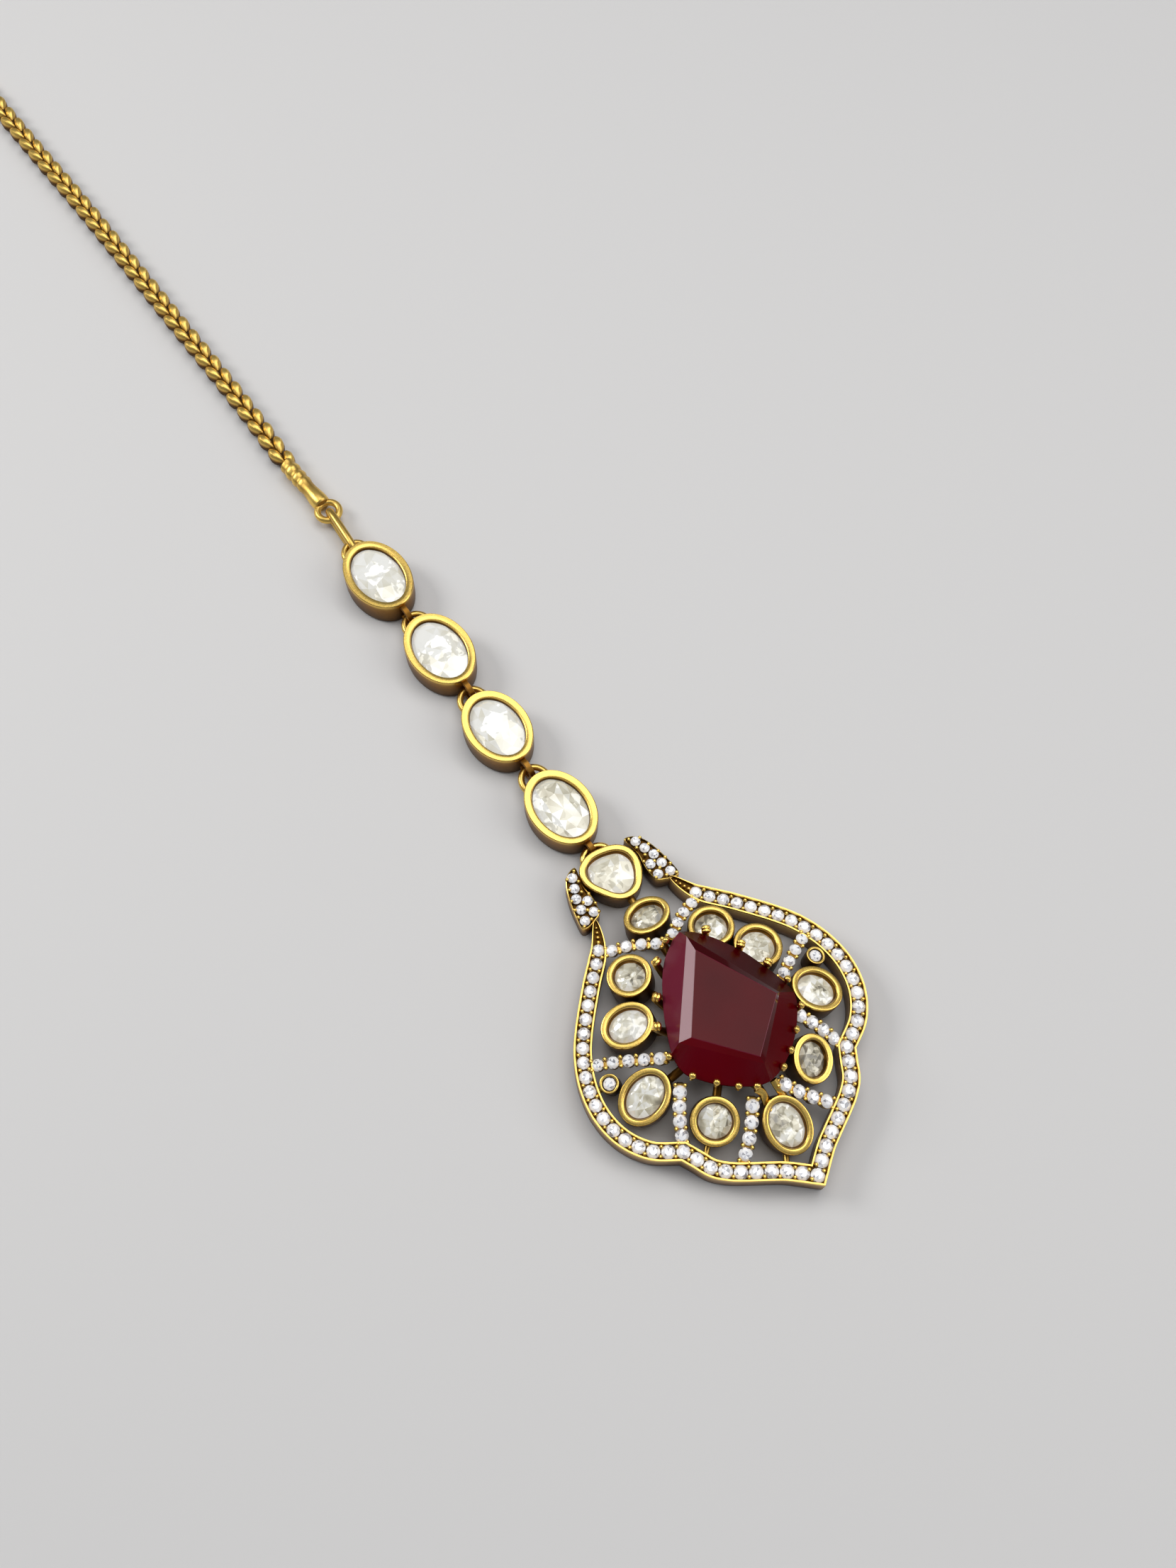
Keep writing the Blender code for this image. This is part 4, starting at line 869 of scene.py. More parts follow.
def make_bars(sizes):
    """Gold and stones of the curved bars: a core, a cup for each stone and bead pairs."""
    metal, stones = Shape(), Shape()
    half, deep = BAR_HALF, BAR_DEPTH
    section = [(half * 0.8, -deep), (half, -deep * 0.7), (half, -0.25 * deep),
               (half * 0.8, -0.15 * deep), (-half * 0.8, -0.15 * deep), (-half, -0.25 * deep),
               (-half, -deep * 0.7), (-half * 0.8, -deep)]
    shade = np.array([1.0, 0.9, 0.5, 0.4, 0.4, 0.5, 0.9, 1.0])
    ball, faces = bead()
    cup, cup_faces = seat_cup()
    cup_shade = np.repeat([1.0, 1.0, 0.45, 0.2], 12)
    for index, bar in enumerate(PAVE_BARS):
        for mirror in (1, -1):
            flat = smooth_line([place(p) * [mirror, 1] for p in bar], 25)
            height = np.linspace(BAR_OUTER_TOP, BAR_INNER_TOP, 25)
            line = np.column_stack([flat, height])
            stone = BAR_STONES[index]
            line = line[:BAR_SPANS[index]]
            rings = sweep(lengthened(line, stone * 1.2), section)
            metal.add_rings(rings, hollows=np.broadcast_to(shade, rings.shape[:2]))
            spots = even_points(line, BAR_COUNTS[index])
            run = unit(np.gradient(spots, axis=0))
            side = unit(np.cross(run, (0, 0, 1)))
            frames = np.stack([side, run, np.cross(side, run)], axis=-1)
            pave(stones, spots, stone, sizes.pave_rise, 30 + index * 2 + mirror, frames)
            metal.scatter(cup, cup_faces, spots, stone * 1.04, frames,
                          hollows=np.tile(cup_shade, len(spots)))
            ends = np.vstack([spots[:1] - run[:1] * stone * 2, spots,
                              spots[-1:] + run[-1:] * stone * 2])
            between = (ends[1:] + ends[:-1]) / 2
            wide = np.vstack([side[:1], side])
            reach = wide * stone * 0.70
            lift = np.array([0, 0, sizes.pave_rise * 0.3])
            metal.scatter(ball, faces, np.vstack([between + reach, between - reach]) + lift,
                          sizes.bead_radius * 1.05)
    return metal, stones


def make_leaves(sizes):
    """Gold and stones of the two leaves beside the top bezel."""
    metal, stones = Shape(), Shape()
    ball, faces = bead()
    # Leaf section: inset in mm, share of its height, share of painted shade
    profile = ((0.0, 0.20, 1.0), (0.0, 0.55, 0.9), (0.0, 0.90, 0.5), (0.06, 0.97, 0.1),
               (0.16, 0.98, 0.0), (0.22, 0.93, 0.7), (0.30, 0.88, 1.0))
    cup, cup_faces = seat_cup()
    for mirror in (1, -1):
        side, shift = np.array([mirror, 1]), np.array([LEAF_SHIFT, 0.0])
        outline = smooth_line(from_tip(LEAF_OUTLINE) * side, 97, closed=True)[:-1] + shift
        middle = outline.mean(axis=0)
        reach = np.linalg.norm(outline - middle, axis=1, keepdims=True)
        rings = [level(middle + (outline - middle) * (1 - inset * MM / reach), height * LEAF_HEIGHT)
                 for inset, height, _ in profile]
        metal.add_rings(rings, hollows=[[h] for _, _, h in profile])
        spots = from_tip(LEAF_STONES) * side + shift
        pave(stones, level(spots, LEAF_HEIGHT), LEAF_STONE, sizes.pave_rise, 50 + mirror)
        metal.scatter(cup, cup_faces, level(spots, LEAF_HEIGHT), LEAF_STONE * 1.02,
                      hollows=np.tile(np.repeat([1.0, 1.0, 0.8, 0.5], 12), len(spots)))
        beads = from_tip(LEAF_BEADS) * side + shift
        metal.scatter(ball, faces, level(beads, LEAF_HEIGHT + 0.08 * MM), sizes.bead_radius * 0.95)
    return metal, stones


def bezel_frame(x_share, y_share, top, turn, lean=BEZEL_LEAN):
    """Turn and place of a bezel: the middle of its top, leaning away from the red stone."""
    spot = place((x_share, y_share))
    away = unit(spot - from_tip(RUBY_MIDDLE))
    tilt = turn_about(np.array([-away[1], away[0], 0.0]), lean)
    return tilt @ turn_about(np.array([0.0, 0.0, 1.0]), math.radians(turn)), np.array([*spot, top])


def placed(rings, turn, spot):
    """Rings turned and moved to their place."""
    return np.asarray(rings) @ turn.T + spot


def bezel_rings(outline, wall, depth, count=72, section=BEZEL_SECTION):
    """Rings of a bezel: its outline drawn in and lowered along a section."""
    angle = np.arange(count) * 2 * math.pi / count
    return np.stack([level(outline(angle, inset * wall), -drop * depth)
                     for inset, drop, _ in section])


BEZEL_HOLLOWS = [[h] for _, _, h in BEZEL_SECTION]
LINK_HOLLOWS = [[h] for _, _, h in LINK_SECTION]


def stone_in_bezel(shape, outline, wall, sizes, seed, turn, spot, tones, count=9, wobble=0.22):
    """Add a cut stone under a bezel's lip, its table sunk below the rim."""
    own = Shape()
    crown, sink = sizes.stone_crown, sizes.stone_sink
    rng = np.random.default_rng(seed)
    rings = ((0.34, -sink), (0.66, -sink - crown * 0.25), (1.0, -sink - crown),
             (1.0, -sink - crown * 1.3), (0.5, -sink - crown * 3.0))
    inner = wall * 0.93

    def girdle(angle):
        return outline(angle, inner)
    facets(own, girdle, rings, count, seed, wobble, tones, rng.uniform(-0.25, 0.25, 2) * MM)
    shape.add(placed(own.points[0], turn, spot), own.faces, own.tones[0])


def make_bezels(sizes):
    """Gold of the ring, tiny and top bezels, and the stones by CAD node."""
    metal, stones = Shape(), {}
    for number, x, y, length, width, turn in RING_BEZELS:
        outline = oval(length * BEZEL_RADIUS, width * BEZEL_RADIUS)
        frame_turn, spot = bezel_frame(x, y, BEZEL_TOP, turn)
        rings = bezel_rings(outline, BEZEL_WALL, BEZEL_DEPTH)
        metal.add_rings(placed(rings, frame_turn, spot), hollows=BEZEL_HOLLOWS)
        own = Shape()
        stone_in_bezel(own, outline, BEZEL_WALL, sizes, 70 + number, frame_turn, spot,
                       RING_TONES[number - 1])
        stones[f"stone_ring_{number}"] = own
    for name, mirror in (("stone_tiny_left", -1), ("stone_tiny_right", 1)):
        frame_turn, spot = bezel_frame(mirror * TINY_PLACE[0], TINY_PLACE[1], TINY_TOP, 0)
        rings = bezel_rings(oval(TINY_RADIUS, TINY_RADIUS), TINY_RADIUS * 0.36, 2.3 * MM, 32)
        metal.add_rings(placed(rings, frame_turn, spot), hollows=BEZEL_HOLLOWS)
        own = Shape()
        sunk = spot - frame_turn[:, 2] * 0.22 * MM
        pave(own, sunk[None], TINY_RADIUS * 0.64, sizes.pave_rise * 0.7, 90 + mirror,
             frame_turn[None])
        stones[name] = own
    outline = soft_triangle(TOP_RADIUS)
    spot = np.array([*place(TOP_PLACE), TOP_HEIGHT]) + [LEAF_SHIFT, TOP_RISE, 0.0]
    metal.add_rings(bezel_rings(outline, BEZEL_WALL * 1.15, TOP_HEIGHT) + spot,
                    hollows=BEZEL_HOLLOWS)
    own = Shape()
    stone_in_bezel(own, outline, BEZEL_WALL * 1.15, sizes, 99, np.eye(3), spot, (0.45, 1.0), 8, 0.3)
    stones["stone_top"] = own
    return metal, stones


def ruby_corners(corners, count=24):
    """Closed outline of four straight sides of even points."""
    loop = from_tip(corners)
    return np.vstack([even_points(np.vstack([loop[k], loop[(k + 1) % 4]]), count + 1)[:-1]
                      for k in range(4)])


def ruby_girdle(count=24):
    """Girdle outline: a smooth curve through the measured points of each side."""
    return np.vstack([smooth_line(from_tip(side), count + 1)[:-1] for side in RUBY_SIDES])


def make_ruby():
    """Red stone: pavilion, girdle, large crown facets, narrow bevel, thin edge and kite table."""
    middle = from_tip(RUBY_MIDDLE)
    girdle, bevel = ruby_girdle(), ruby_corners(BEVEL_CORNERS)
    table = ruby_corners(TABLE_CORNERS)
    inner = middle + (table - middle) * 0.985
    rings = [level(middle + (girdle - middle) * RUBY_BACK_SHARE, RUBY_BACK),
             level(girdle, RUBY_GIRDLE_HEIGHT - 0.3 * MM), level(girdle, RUBY_GIRDLE_HEIGHT),
             level(bevel, RUBY_BEVEL_HEIGHT), level(table, RUBY_TOP - 0.035 * MM),
             level(inner, RUBY_TOP)]
    shape = Shape()
    shape.add_rings(rings)
    # Face tones by row, painted reflections: dark on the pavilion and girdle, by side on the crown,
    # bevel and edge, and one tone on the table
    side = np.arange(len(girdle)) // 24
    row = [np.full(len(girdle), 0.1), np.full(len(girdle), 0.1), np.array(SIDE_TONES)[side],
           np.array(BEVEL_TONES)[side], np.array(EDGE_TONES)[side]]
    shape.tones = [np.concatenate([*row, [0.1, TABLE_TONE]])]
    return shape


def ball_head(top, ball):
    """Heights and radii of a ball on a post: even turns from its neck to its pole."""
    turn = np.radians(np.linspace(150, 6, 9))
    return top + ball * np.cos(turn), ball * np.sin(turn)


def make_basket():
    """Gold under the red stone: a cup, tapering posts with ball or split heads, and straps."""
    metal = Shape()
    middle = from_tip(RUBY_MIDDLE)
    girdle = ruby_girdle()

    def ring(share, grow, height):
        out = girdle - middle
        return level(middle + out * share + unit(out) * grow, height)
    rise = (BASKET_RIM - RUBY_BACK) / (RUBY_GIRDLE_HEIGHT - 0.3 * MM - RUBY_BACK)
    share = RUBY_BACK_SHARE + (1 - RUBY_BACK_SHARE) * rise
    wall = 0.7 * MM
    rings = [ring(BASKET_FOOT_SHARE, wall, 0.0), ring(share, wall, BASKET_RIM * 0.9),
             ring(share, wall * 0.85, BASKET_RIM), ring(share, wall * 0.35, BASKET_RIM),
             ring(share * 0.97, 0.22 * MM, BASKET_RIM * 0.95),
             ring(RUBY_BACK_SHARE, 0.22 * MM, RUBY_BACK - 0.3 * MM)]
    # Painted shade on the cup: dark at its foot and inside under the stone, light on its rim
    metal.add_rings(rings, hollows=[[1.0], [0.7], [0.2], [0.2], [0.8], [1.0]])
    top = RUBY_GIRDLE_HEIGHT + PRONG_OVER
    shade = np.concatenate([np.linspace(1.0, 0.15, 12), np.zeros(9)])[:, None]
    lobe, lobe_faces = bead(14, 9)
    for spots, split in ((BALL_PRONGS, False), (SPLIT_PRONGS, True)):
        for head in from_tip(spots):
            out = unit(head - middle)
            across = np.array([-out[1], out[0]])
            root = middle + (head - middle) * BASKET_FOOT_SHARE
            heights, widths = ball_head(top, PRONG_BALL)
            post = smooth_line([[*root, 1.0 * MM], [*head, RUBY_GIRDLE_HEIGHT - 0.6 * MM],
                                [*head, heights[0]]], 12)
            crown = np.column_stack([np.tile(head, (9, 1)), heights])
            radii = np.concatenate([np.linspace(0.42 * MM, widths[0], 12), widths])
            if split:
                crown, radii = crown[:1], np.linspace(0.44 * MM, 0.36 * MM, 13)
            metal.add_rings(sweep(np.vstack([post, crown]), ellipse(1, 1, 12), (*across, 0.0),
                                  swell=radii), hollows=shade[:len(radii)])
            if split:
                centres = np.array([[*(head + out * step * SPLIT_STEP), top - 0.08 * MM]
                                    for step in (-1, 1)])
                frame_turn = np.array([[out[0], across[0], 0], [out[1], across[1], 0], [0, 0, 1]])
                metal.scatter(lobe * SPLIT_LOBE, lobe_faces, centres, 1.0 * MM,
                              frame_turn[None])
    for path in STRAPS:
        line = smooth_line(np.column_stack([from_tip(np.array(path)[:, :2]),
                                            np.array(path)[:, 2] * MM]), 12)
        metal.add_rings(sweep(line, ellipse(*STRAP_SECTION, 14)), hollows=0.1 * np.ones((12, 1)))
    return metal


def make_spokes():
    """Gold bars from the basket to the bezels, low under them, and the few struts beyond."""
    metal = Shape()
    seat = from_tip(RUBY_MIDDLE)
    # Spokes and struts sit low under the bezels and get painted shade
    for _, x, y, *_ in RING_BEZELS:
        spot = place((x, y))
        end = spot - unit(spot - seat) * SPOKE_STOP
        path = level(np.linspace(seat + (spot - seat) * 0.35, end, 6), SPOKE_HEIGHT * 0.8)
        metal.add_rings(sweep(path, ellipse(SPOKE_RADIUS, SPOKE_RADIUS, 12)),
                        hollows=0.8 * np.ones((6, 1)))
    path = level(np.linspace(place((0.0, 0.923)), place(TOP_PLACE), 6), SPOKE_HEIGHT)
    metal.add_rings(sweep(path, ellipse(SPOKE_RADIUS, SPOKE_RADIUS, 12)),
                    hollows=0.6 * np.ones((6, 1)))
    for path in STRUTS:
        line = smooth_line(np.column_stack([from_tip(np.array(path)[:, :2]),
                                            np.array(path)[:, 2] * MM]), 8)
        metal.add_rings(sweep(line, ellipse(0.32 * MM, 0.32 * MM, 12)),
                        hollows=0.45 * np.ones((8, 1)))
    _, lower = border_lobes()
    upper, _ = border_lobes()
    band = np.vstack([upper, lower])
    for mirror in (-1, 1):
        tiny = place(TINY_PLACE) * [mirror, 1]
        sided = band * [mirror, 1]
        end = sided[int(np.argmin(np.linalg.norm(sided - tiny, axis=1)))]
        path = level(np.linspace(tiny, end, 4), SPOKE_HEIGHT)
        metal.add_rings(sweep(path, ellipse(0.30 * MM, 0.30 * MM, 12)),
                        hollows=0.6 * np.ones((4, 1)))
    return metal


# ---- Links, chain and hook


def loop_rings(reach, wire, turn, spot):
    """Rings of a U loop that stands out of a wall at y = 0: straight feet and half an oval."""
    angle = np.linspace(0, math.pi, 19)
    arc = np.column_stack([LOOP_HALF_WIDTH * np.cos(angle), reach * np.sin(angle)])
    feet = np.array([[LOOP_HALF_WIDTH, -2.5 * wire]])
    flat = np.vstack([feet, arc, feet * [-1, 1]])
    rings = sweep(level(flat, LOOP_HEIGHT), ellipse(wire, wire, 12))
    return placed(rings, turn, spot)


def make_top_loop(sizes):
    """U loop behind the top bezel."""
    metal = Shape()
    wall = place(TOP_PLACE)[1] + TOP_RADIUS * (1 - TOP_CORNER)
    spot = np.array([TOP_LOOP_SHIFT, wall, 0.0])
    metal.add_rings(loop_rings(TOP_LINK_GAP * LOOP_REACH_SHARE, sizes.loop_wire, np.eye(3), spot))
    return metal


def link_places():
    """Centre, run and lower gap of each oval link, from the pendant upwards, and the last end."""
    spot = place(TOP_PLACE) + [TOP_LOOP_SHIFT, TOP_RADIUS * (1 - TOP_CORNER)]
    gap, places = TOP_LINK_GAP, []
    for heading in LINK_HEADINGS:
        along = np.array([math.cos(math.radians(heading)), math.sin(math.radians(heading))])
        spot = spot + along * (gap + OVAL_HALF_LENGTH)
        places.append((spot, heading, gap))
        spot = spot + along * OVAL_HALF_LENGTH
        gap = LINK_GAP
    return places, spot, along


def cap_ring_centre(end, along):
    """Centre of the end cap's ring, from the last link's end and run."""
    return end + along * CAP_RING_FROM_LINK + [CAP_RING_SHIFT, 0.0]


def make_link(sizes, spot, heading, gap, lip):
    """Gold of an oval link: bezel, U loop and folded tongue. Also its turn and place."""
    metal = Shape()
    turn = turn_about(np.array([0.0, 0.0, 1.0]), math.radians(heading - 90))
    centre = np.array([*spot, OVAL_HEIGHT])
    outline = oval(OVAL_HALF_WIDTH + lip[0] * MM, OVAL_HALF_LENGTH + lip[1] * MM)
    rings = placed(bezel_rings(outline, OVAL_WALL, OVAL_HEIGHT, 96, LINK_SECTION), turn, centre)
    # Painted shade: from the link section on the bezel, a little on the U loop, more on the tongue
    metal.add_rings(rings, hollows=LINK_HOLLOWS)
    foot = np.array([*spot, 0.0]) + turn @ np.array([0.0, OVAL_HALF_LENGTH, 0.0])
    metal.add_rings(loop_rings(LINK_GAP * LOOP_REACH_SHARE, sizes.loop_wire, turn, foot),
                    hollows=0.25 * np.ones((21, 1)))
    radius = (gap * TONGUE_REACH_SHARE + TONGUE_WIRE) / 2
    angle = np.arange(24) * 2 * math.pi / 24
    ring = np.column_stack([np.zeros(24), -OVAL_HALF_LENGTH - radius + TONGUE_WIRE
                            + radius * np.cos(angle), LOOP_HEIGHT + radius * np.sin(angle)])
    strip = np.array([(0.5, -1), (1, -0.8), (1, 0.8), (0.5, 1), (-0.5, 1), (-1, 0.8), (-1, -0.8),
                      (-0.5, -1)]) * [TONGUE_WIRE, TONGUE_WIDTH]
    rings = sweep(ring, strip, (1.0, 0.0, 0.0), loop=True)
    metal.add_rings(placed(rings, turn, np.array([*spot, 0.0])), loop=True,
                    hollows=0.75 * np.ones((24, 1)))
    return metal, outline, turn, centre


def make_link_stone(sizes, outline, turn, centre, seed, tones):
    """Clear oval stone of a link: a long table ringed by slim facets painted bright as reflections.
    """
    shape, own = Shape(), Shape()
    crown, sink = sizes.stone_crown * 1.2, sizes.stone_sink * 0.65
    rings = ((0.50, -sink), (0.80, -sink - crown * 0.45), (1.0, -sink - crown),
             (1.0, -sink - crown * 1.3), (0.5, -sink - crown * 3.0))

    def girdle(angle):
        return outline(angle, OVAL_WALL * 0.97)
    facets(own, girdle, rings, 10, seed, 0.14, tones, (0.15 * MM, -0.3 * MM))
    shape.add(placed(own.points[0], turn, centre), own.faces, own.tones[0])
    return shape


def ring_loop(centre, along, radius, height, count=28):
    """Points of a circle in the plane of a run and another axis."""
    angle = np.arange(count) * 2 * math.pi / count
    return centre + np.outer(np.cos(angle), along) * radius + np.outer(np.sin(angle), height) * radius


def make_jump_link(loop_end, ring_centre):
    """Upright long link: a squared oval in the plane of its run, with round wire."""
    along = unit(ring_centre - loop_end)
    low = loop_end + along * (LINK_GAP * LOOP_REACH_SHARE - 0.25 * MM) / 2
    high = ring_centre - along * (CAP_RING_RADIUS - CAP_RING_WIRE) * 0.45
    middle, half = (low + high) / 2, np.linalg.norm(high - low) / 2
    angle = np.arange(40) * 2 * math.pi / 40
    run = np.sign(np.cos(angle)) * np.abs(np.cos(angle)) ** 0.7 * half
    lift = np.sign(np.sin(angle)) * np.abs(np.sin(angle)) ** 0.7 * JUMP_HALF_HEIGHT
    path = np.column_stack([middle + run[:, None] * along, JUMP_HALF_HEIGHT + JUMP_WIRE + lift])
    metal = Shape()
    across = (-along[1], along[0], 0.0)
    metal.add_rings(sweep(path, ellipse(JUMP_WIRE, JUMP_WIRE, 12), across, loop=True), loop=True,
                    hollows=0.3 * np.ones((40, 1)))
    return metal


def make_end_cap(ring_centre):
    """Wound end cap: a turned body whose ridges lean like wire, and a level ring."""
    along = np.array([math.cos(math.radians(CAP_HEADING)), math.sin(math.radians(CAP_HEADING)), 0])
    start = np.array([*ring_centre, CAP_RADIUS])
    shares, widths = np.array(CAP_SECTIONS).T
    angle = np.arange(28) * 2 * math.pi / 28
    side = np.array([along[1], -along[0], 0.0])
    circle = np.outer(np.cos(angle), side) + np.outer(np.sin(angle), (0.0, 0.0, 1.0))
    lean = np.where(shares > 0.46, 0.16, 0.0)[:, None] * np.cos(angle)[None] * CAP_RADIUS
    lumps = 1 + 0.03 * np.sin(5 * angle + 1.0)[None] * (shares > 0.46)[:, None]
    rings = (start + along * (shares[:, None, None] * CAP_LENGTH + lean[..., None])
             + circle[None] * (widths[:, None] * lumps * CAP_RADIUS)[..., None])
    metal = Shape()
    # Painted shade in the cap's narrow grooves, and a little on its ring
    hollow = np.clip((0.97 - widths) * 3, 0, 0.6)
    metal.add_rings(rings, hollows=hollow[:, None])
    loop = ring_loop(start, along, CAP_RING_RADIUS, np.array([side[0], side[1], 0.0]))
    metal.add_rings(sweep(loop, ellipse(CAP_RING_WIRE, CAP_RING_WIRE, 14), loop=True), loop=True,
                    hollows=0.15 * np.ones((28, 1)))
    return metal, ring_centre + along[:2] * (CAP_LENGTH + CHAIN_GAP)


def chain_spots(start):
    """Half-pitch points of the chain's middle line and the number of pitches."""
    route = np.array(CHAIN_ROUTE) * MM - [0, SEAT_FROM_TIP]
    dense = smooth_line(route - route[0] + start, 1500)
    count = int(line_length(dense) / CHAIN_PITCH)
    return even_points(dense, 2 * count + 1), count


def grain():
    """One grain of the woven chain: a bent pod with a blunt upper and a pointed lower end."""
    share = np.array([-1.0, -0.94, -0.82, -0.62, -0.36, -0.08, 0.20, 0.46, 0.68, 0.86, 1.0])
    width = np.array([0.06, 0.16, 0.34, 0.60, 0.84, 0.98, 1.00, 0.92, 0.76, 0.50, 0.12])
    bend = 0.14 * (1 - share ** 2)
    section = ellipse(1, 1, 12)
    section[:, 1] = np.sign(section[:, 1]) * np.abs(section[:, 1]) ** 0.62
    rings = np.stack([np.column_stack([np.full(12, s * 1.42 * MM), section[:, 0] * w * 0.62 * MM
                                       + b * MM, section[:, 1] * (0.25 + 0.75 * w) * 0.95 * MM])
                      for s, w, b in zip(share, width, bend)])
    shape = Shape()
    shape.add_rings(rings)
    return shape.points[0], shape.faces


def make_chain(start):
    """Woven chain: two staggered rows of slanted grains, and the level end ring."""
    spots, count = chain_spots(start)
    metal = Shape()
    index = np.arange(1, 2 * count)
    side = np.where(index % 2, 1.0, -1.0)
    run = unit(spots[index + 1] - spots[index - 1])
    out = np.column_stack([run[:, 1], -run[:, 0]]) * side[:, None]
    heading = np.arctan2(run[:, 1], run[:, 0]) - side * math.radians(15.0)
    frames = np.zeros((len(index), 3, 3))
    frames[:, 0, 0] = np.cos(heading)
    frames[:, 1, 0] = np.sin(heading)
    frames[:, 0, 1] = np.sin(heading) * side
    frames[:, 1, 1] = -np.cos(heading) * side
    frames[:, 2, 2] = 1.0
    centres = level(spots[index] + out * CHAIN_ROW_OFFSET * 0.9, CHAIN_HEIGHT)
    points, faces = grain()
    # Painted shade on each grain: darker low on its sides and towards its upper end
    upper = np.clip((points[:, 0] / (1.42 * MM) - 0.40) * 1.8, 0, 1)
    hollow = np.clip(1.0 - points[:, 2] / (0.95 * MM) * 1.35 + 0.6 * upper, 0, 1)
    metal.scatter(points, faces, centres, 1.0, frames, hollows=np.tile(hollow, len(index)))
    # The core under the grains is painted fully shaded
    core = sweep(level(spots, CHAIN_HEIGHT), ellipse(0.42 * MM, 0.42 * MM, 10))
    metal.add_rings(core, hollows=np.ones((len(spots), 1)))
    end_run = unit(spots[-1] - spots[-3])
    centre = spots[-1] + end_run * (END_RING_RADIUS - END_RING_WIRE)
    across = np.array([-end_run[1], end_run[0], 0.0])
    loop = ring_loop(np.array([*centre, CHAIN_HEIGHT]), np.array([*end_run, 0.0]),
                     END_RING_RADIUS, across)
    metal.add_rings(sweep(loop, ellipse(END_RING_WIRE, END_RING_WIRE, 12), loop=True), loop=True)
    return metal, centre, end_run


def make_hook(sizes, ring_centre, along):
    """Hair hook lying flat: an upright eye, a straight shank, a half-round bend and a return."""
    metal = Shape()
    across = np.array([-along[1], along[0]])
    eye = ring_centre + along * (HOOK_EYE_RADIUS + END_RING_RADIUS * 0.28)
    centre = np.array([*eye, HOOK_EYE_RADIUS + HOOK_EYE_WIRE])
    loop = ring_loop(centre, np.array([*along, 0.0]), HOOK_EYE_RADIUS, np.array([0.0, 0.0, 1.0]))
    metal.add_rings(sweep(loop, ellipse(HOOK_EYE_WIRE, HOOK_EYE_WIRE, 12), (*across, 0.0),
                          loop=True), loop=True)
    start = eye + along * HOOK_EYE_RADIUS
    bend_centre = start + along * HOOK_LENGTH + across * HOOK_BEND_RADIUS
    turn = np.linspace(-math.pi / 2, math.pi / 2, 21)
    bend = (bend_centre + np.outer(np.cos(turn), along) * HOOK_BEND_RADIUS
            + np.outer(np.sin(turn), across) * HOOK_BEND_RADIUS)
    shank = np.linspace(start + along * HOOK_LENGTH * 0.3, bend[0], 8)[:-1]
    back = np.linspace(bend[-1], bend[-1] - along * HOOK_RETURN, 8)[1:]
    wire = sizes.hook_wire
    flat = np.vstack([start, shank, bend, back])
    height = np.full(len(flat), wire)
    height[0] = CHAIN_HEIGHT
    path = np.column_stack([flat, height])
    swell = np.ones(len(path))
    swell[-1] = 0.6
    metal.add_rings(sweep(path, ellipse(wire, wire, 14), swell=swell))
    return metal


# ---- Operators, panel and stage


class TIKKA_OT_border(bpy.types.Operator):
    """Lay the pave border with its rails, stones and beads"""
    bl_idname = "tikka.border"
    bl_label = "Pave border"

    def execute(self, context):
        """Make the border's gold and stones."""
        metal, stones = make_border(context.scene.tikka_sizes)
        put("border_gold", metal, gold(context), "gold", "pendant_setting")
        put("border_stones", stones, shared("pave_white", pave_finish), "clear_stone", crease=1.0)
        return {"FINISHED"}


class TIKKA_OT_bars(bpy.types.Operator):
    """Add the curved pave bars and the leaves beside the top bezel"""
    bl_idname = "tikka.bars"
    bl_label = "Pave bars and leaves"

    def execute(self, context):
        """Make the bars and leaves."""
        sizes = context.scene.tikka_sizes
        for name, (metal, stones) in (("bar", make_bars(sizes)), ("leaf", make_leaves(sizes))):
            put(name + "_gold", metal, gold(context), "gold", "pendant_setting")
            put(name + "_stones", stones, shared("pave_white", pave_finish), "clear_stone",
                crease=1.0)
        return {"FINISHED"}


class TIKKA_OT_bezels(bpy.types.Operator):
    """Set the clear stones of the pendant in their bezels"""
    bl_idname = "tikka.bezels"
    bl_label = "Bezels and clear stones"

    def execute(self, context):
        """Make the bezels and one stone for each CAD stone."""
        scene = context.scene
        metal, stones = make_bezels(scene.tikka_sizes)
        put("bezel_gold", metal, gold(context), "gold", "pendant_setting")
        for node, shape in stones.items():
            if "tiny" in node:
                material = shared("pave_white", pave_finish)
            elif "top" in node:
                material = clear_material(scene, "clear_top", 330.0, 0.30, 0.30, 0.35)
            else:
                material = clear_material(scene, "clear_ring", 520.0, 0.15, 0.40, 0.62)
            put("cut_" + node, shape, material, "clear_stone", node, crease=1.0)
        return {"FINISHED"}


def clear_material(scene, name, *values):
    """A clear stone's material by its name, made where it isn't there yet."""
    return bpy.data.materials.get(name) or clear_finish(scene.tikka_finishes, name, *values)


class TIKKA_OT_ruby(bpy.types.Operator):
    """Set the big red stone on its basket with ball prongs"""
    bl_idname = "tikka.ruby"
    bl_label = "Red stone and basket"

    def execute(self, context):
        """Make the stone, the basket and the spokes."""
        finishes = context.scene.tikka_finishes
        piece = put("kite_stone", make_ruby(), ruby_finish(finishes, "kite_table", 0.15, 0.06),
                    "ruby_red", "ruby", crease=3.0)
        piece.data.materials.append(ruby_finish(finishes, "kite_sides", 0.03, 0.22))
        sides = np.zeros(len(piece.data.polygons), dtype=np.int32)
        sides[:3 * len(ruby_girdle())] = 1
        piece.data.polygons.foreach_set("material_index", sides)
        put("basket_gold", make_basket(), gold(context), "gold", "pendant_setting")
        put("spoke_gold", make_spokes(), gold(context), "gold", "pendant_setting")
        return {"FINISHED"}


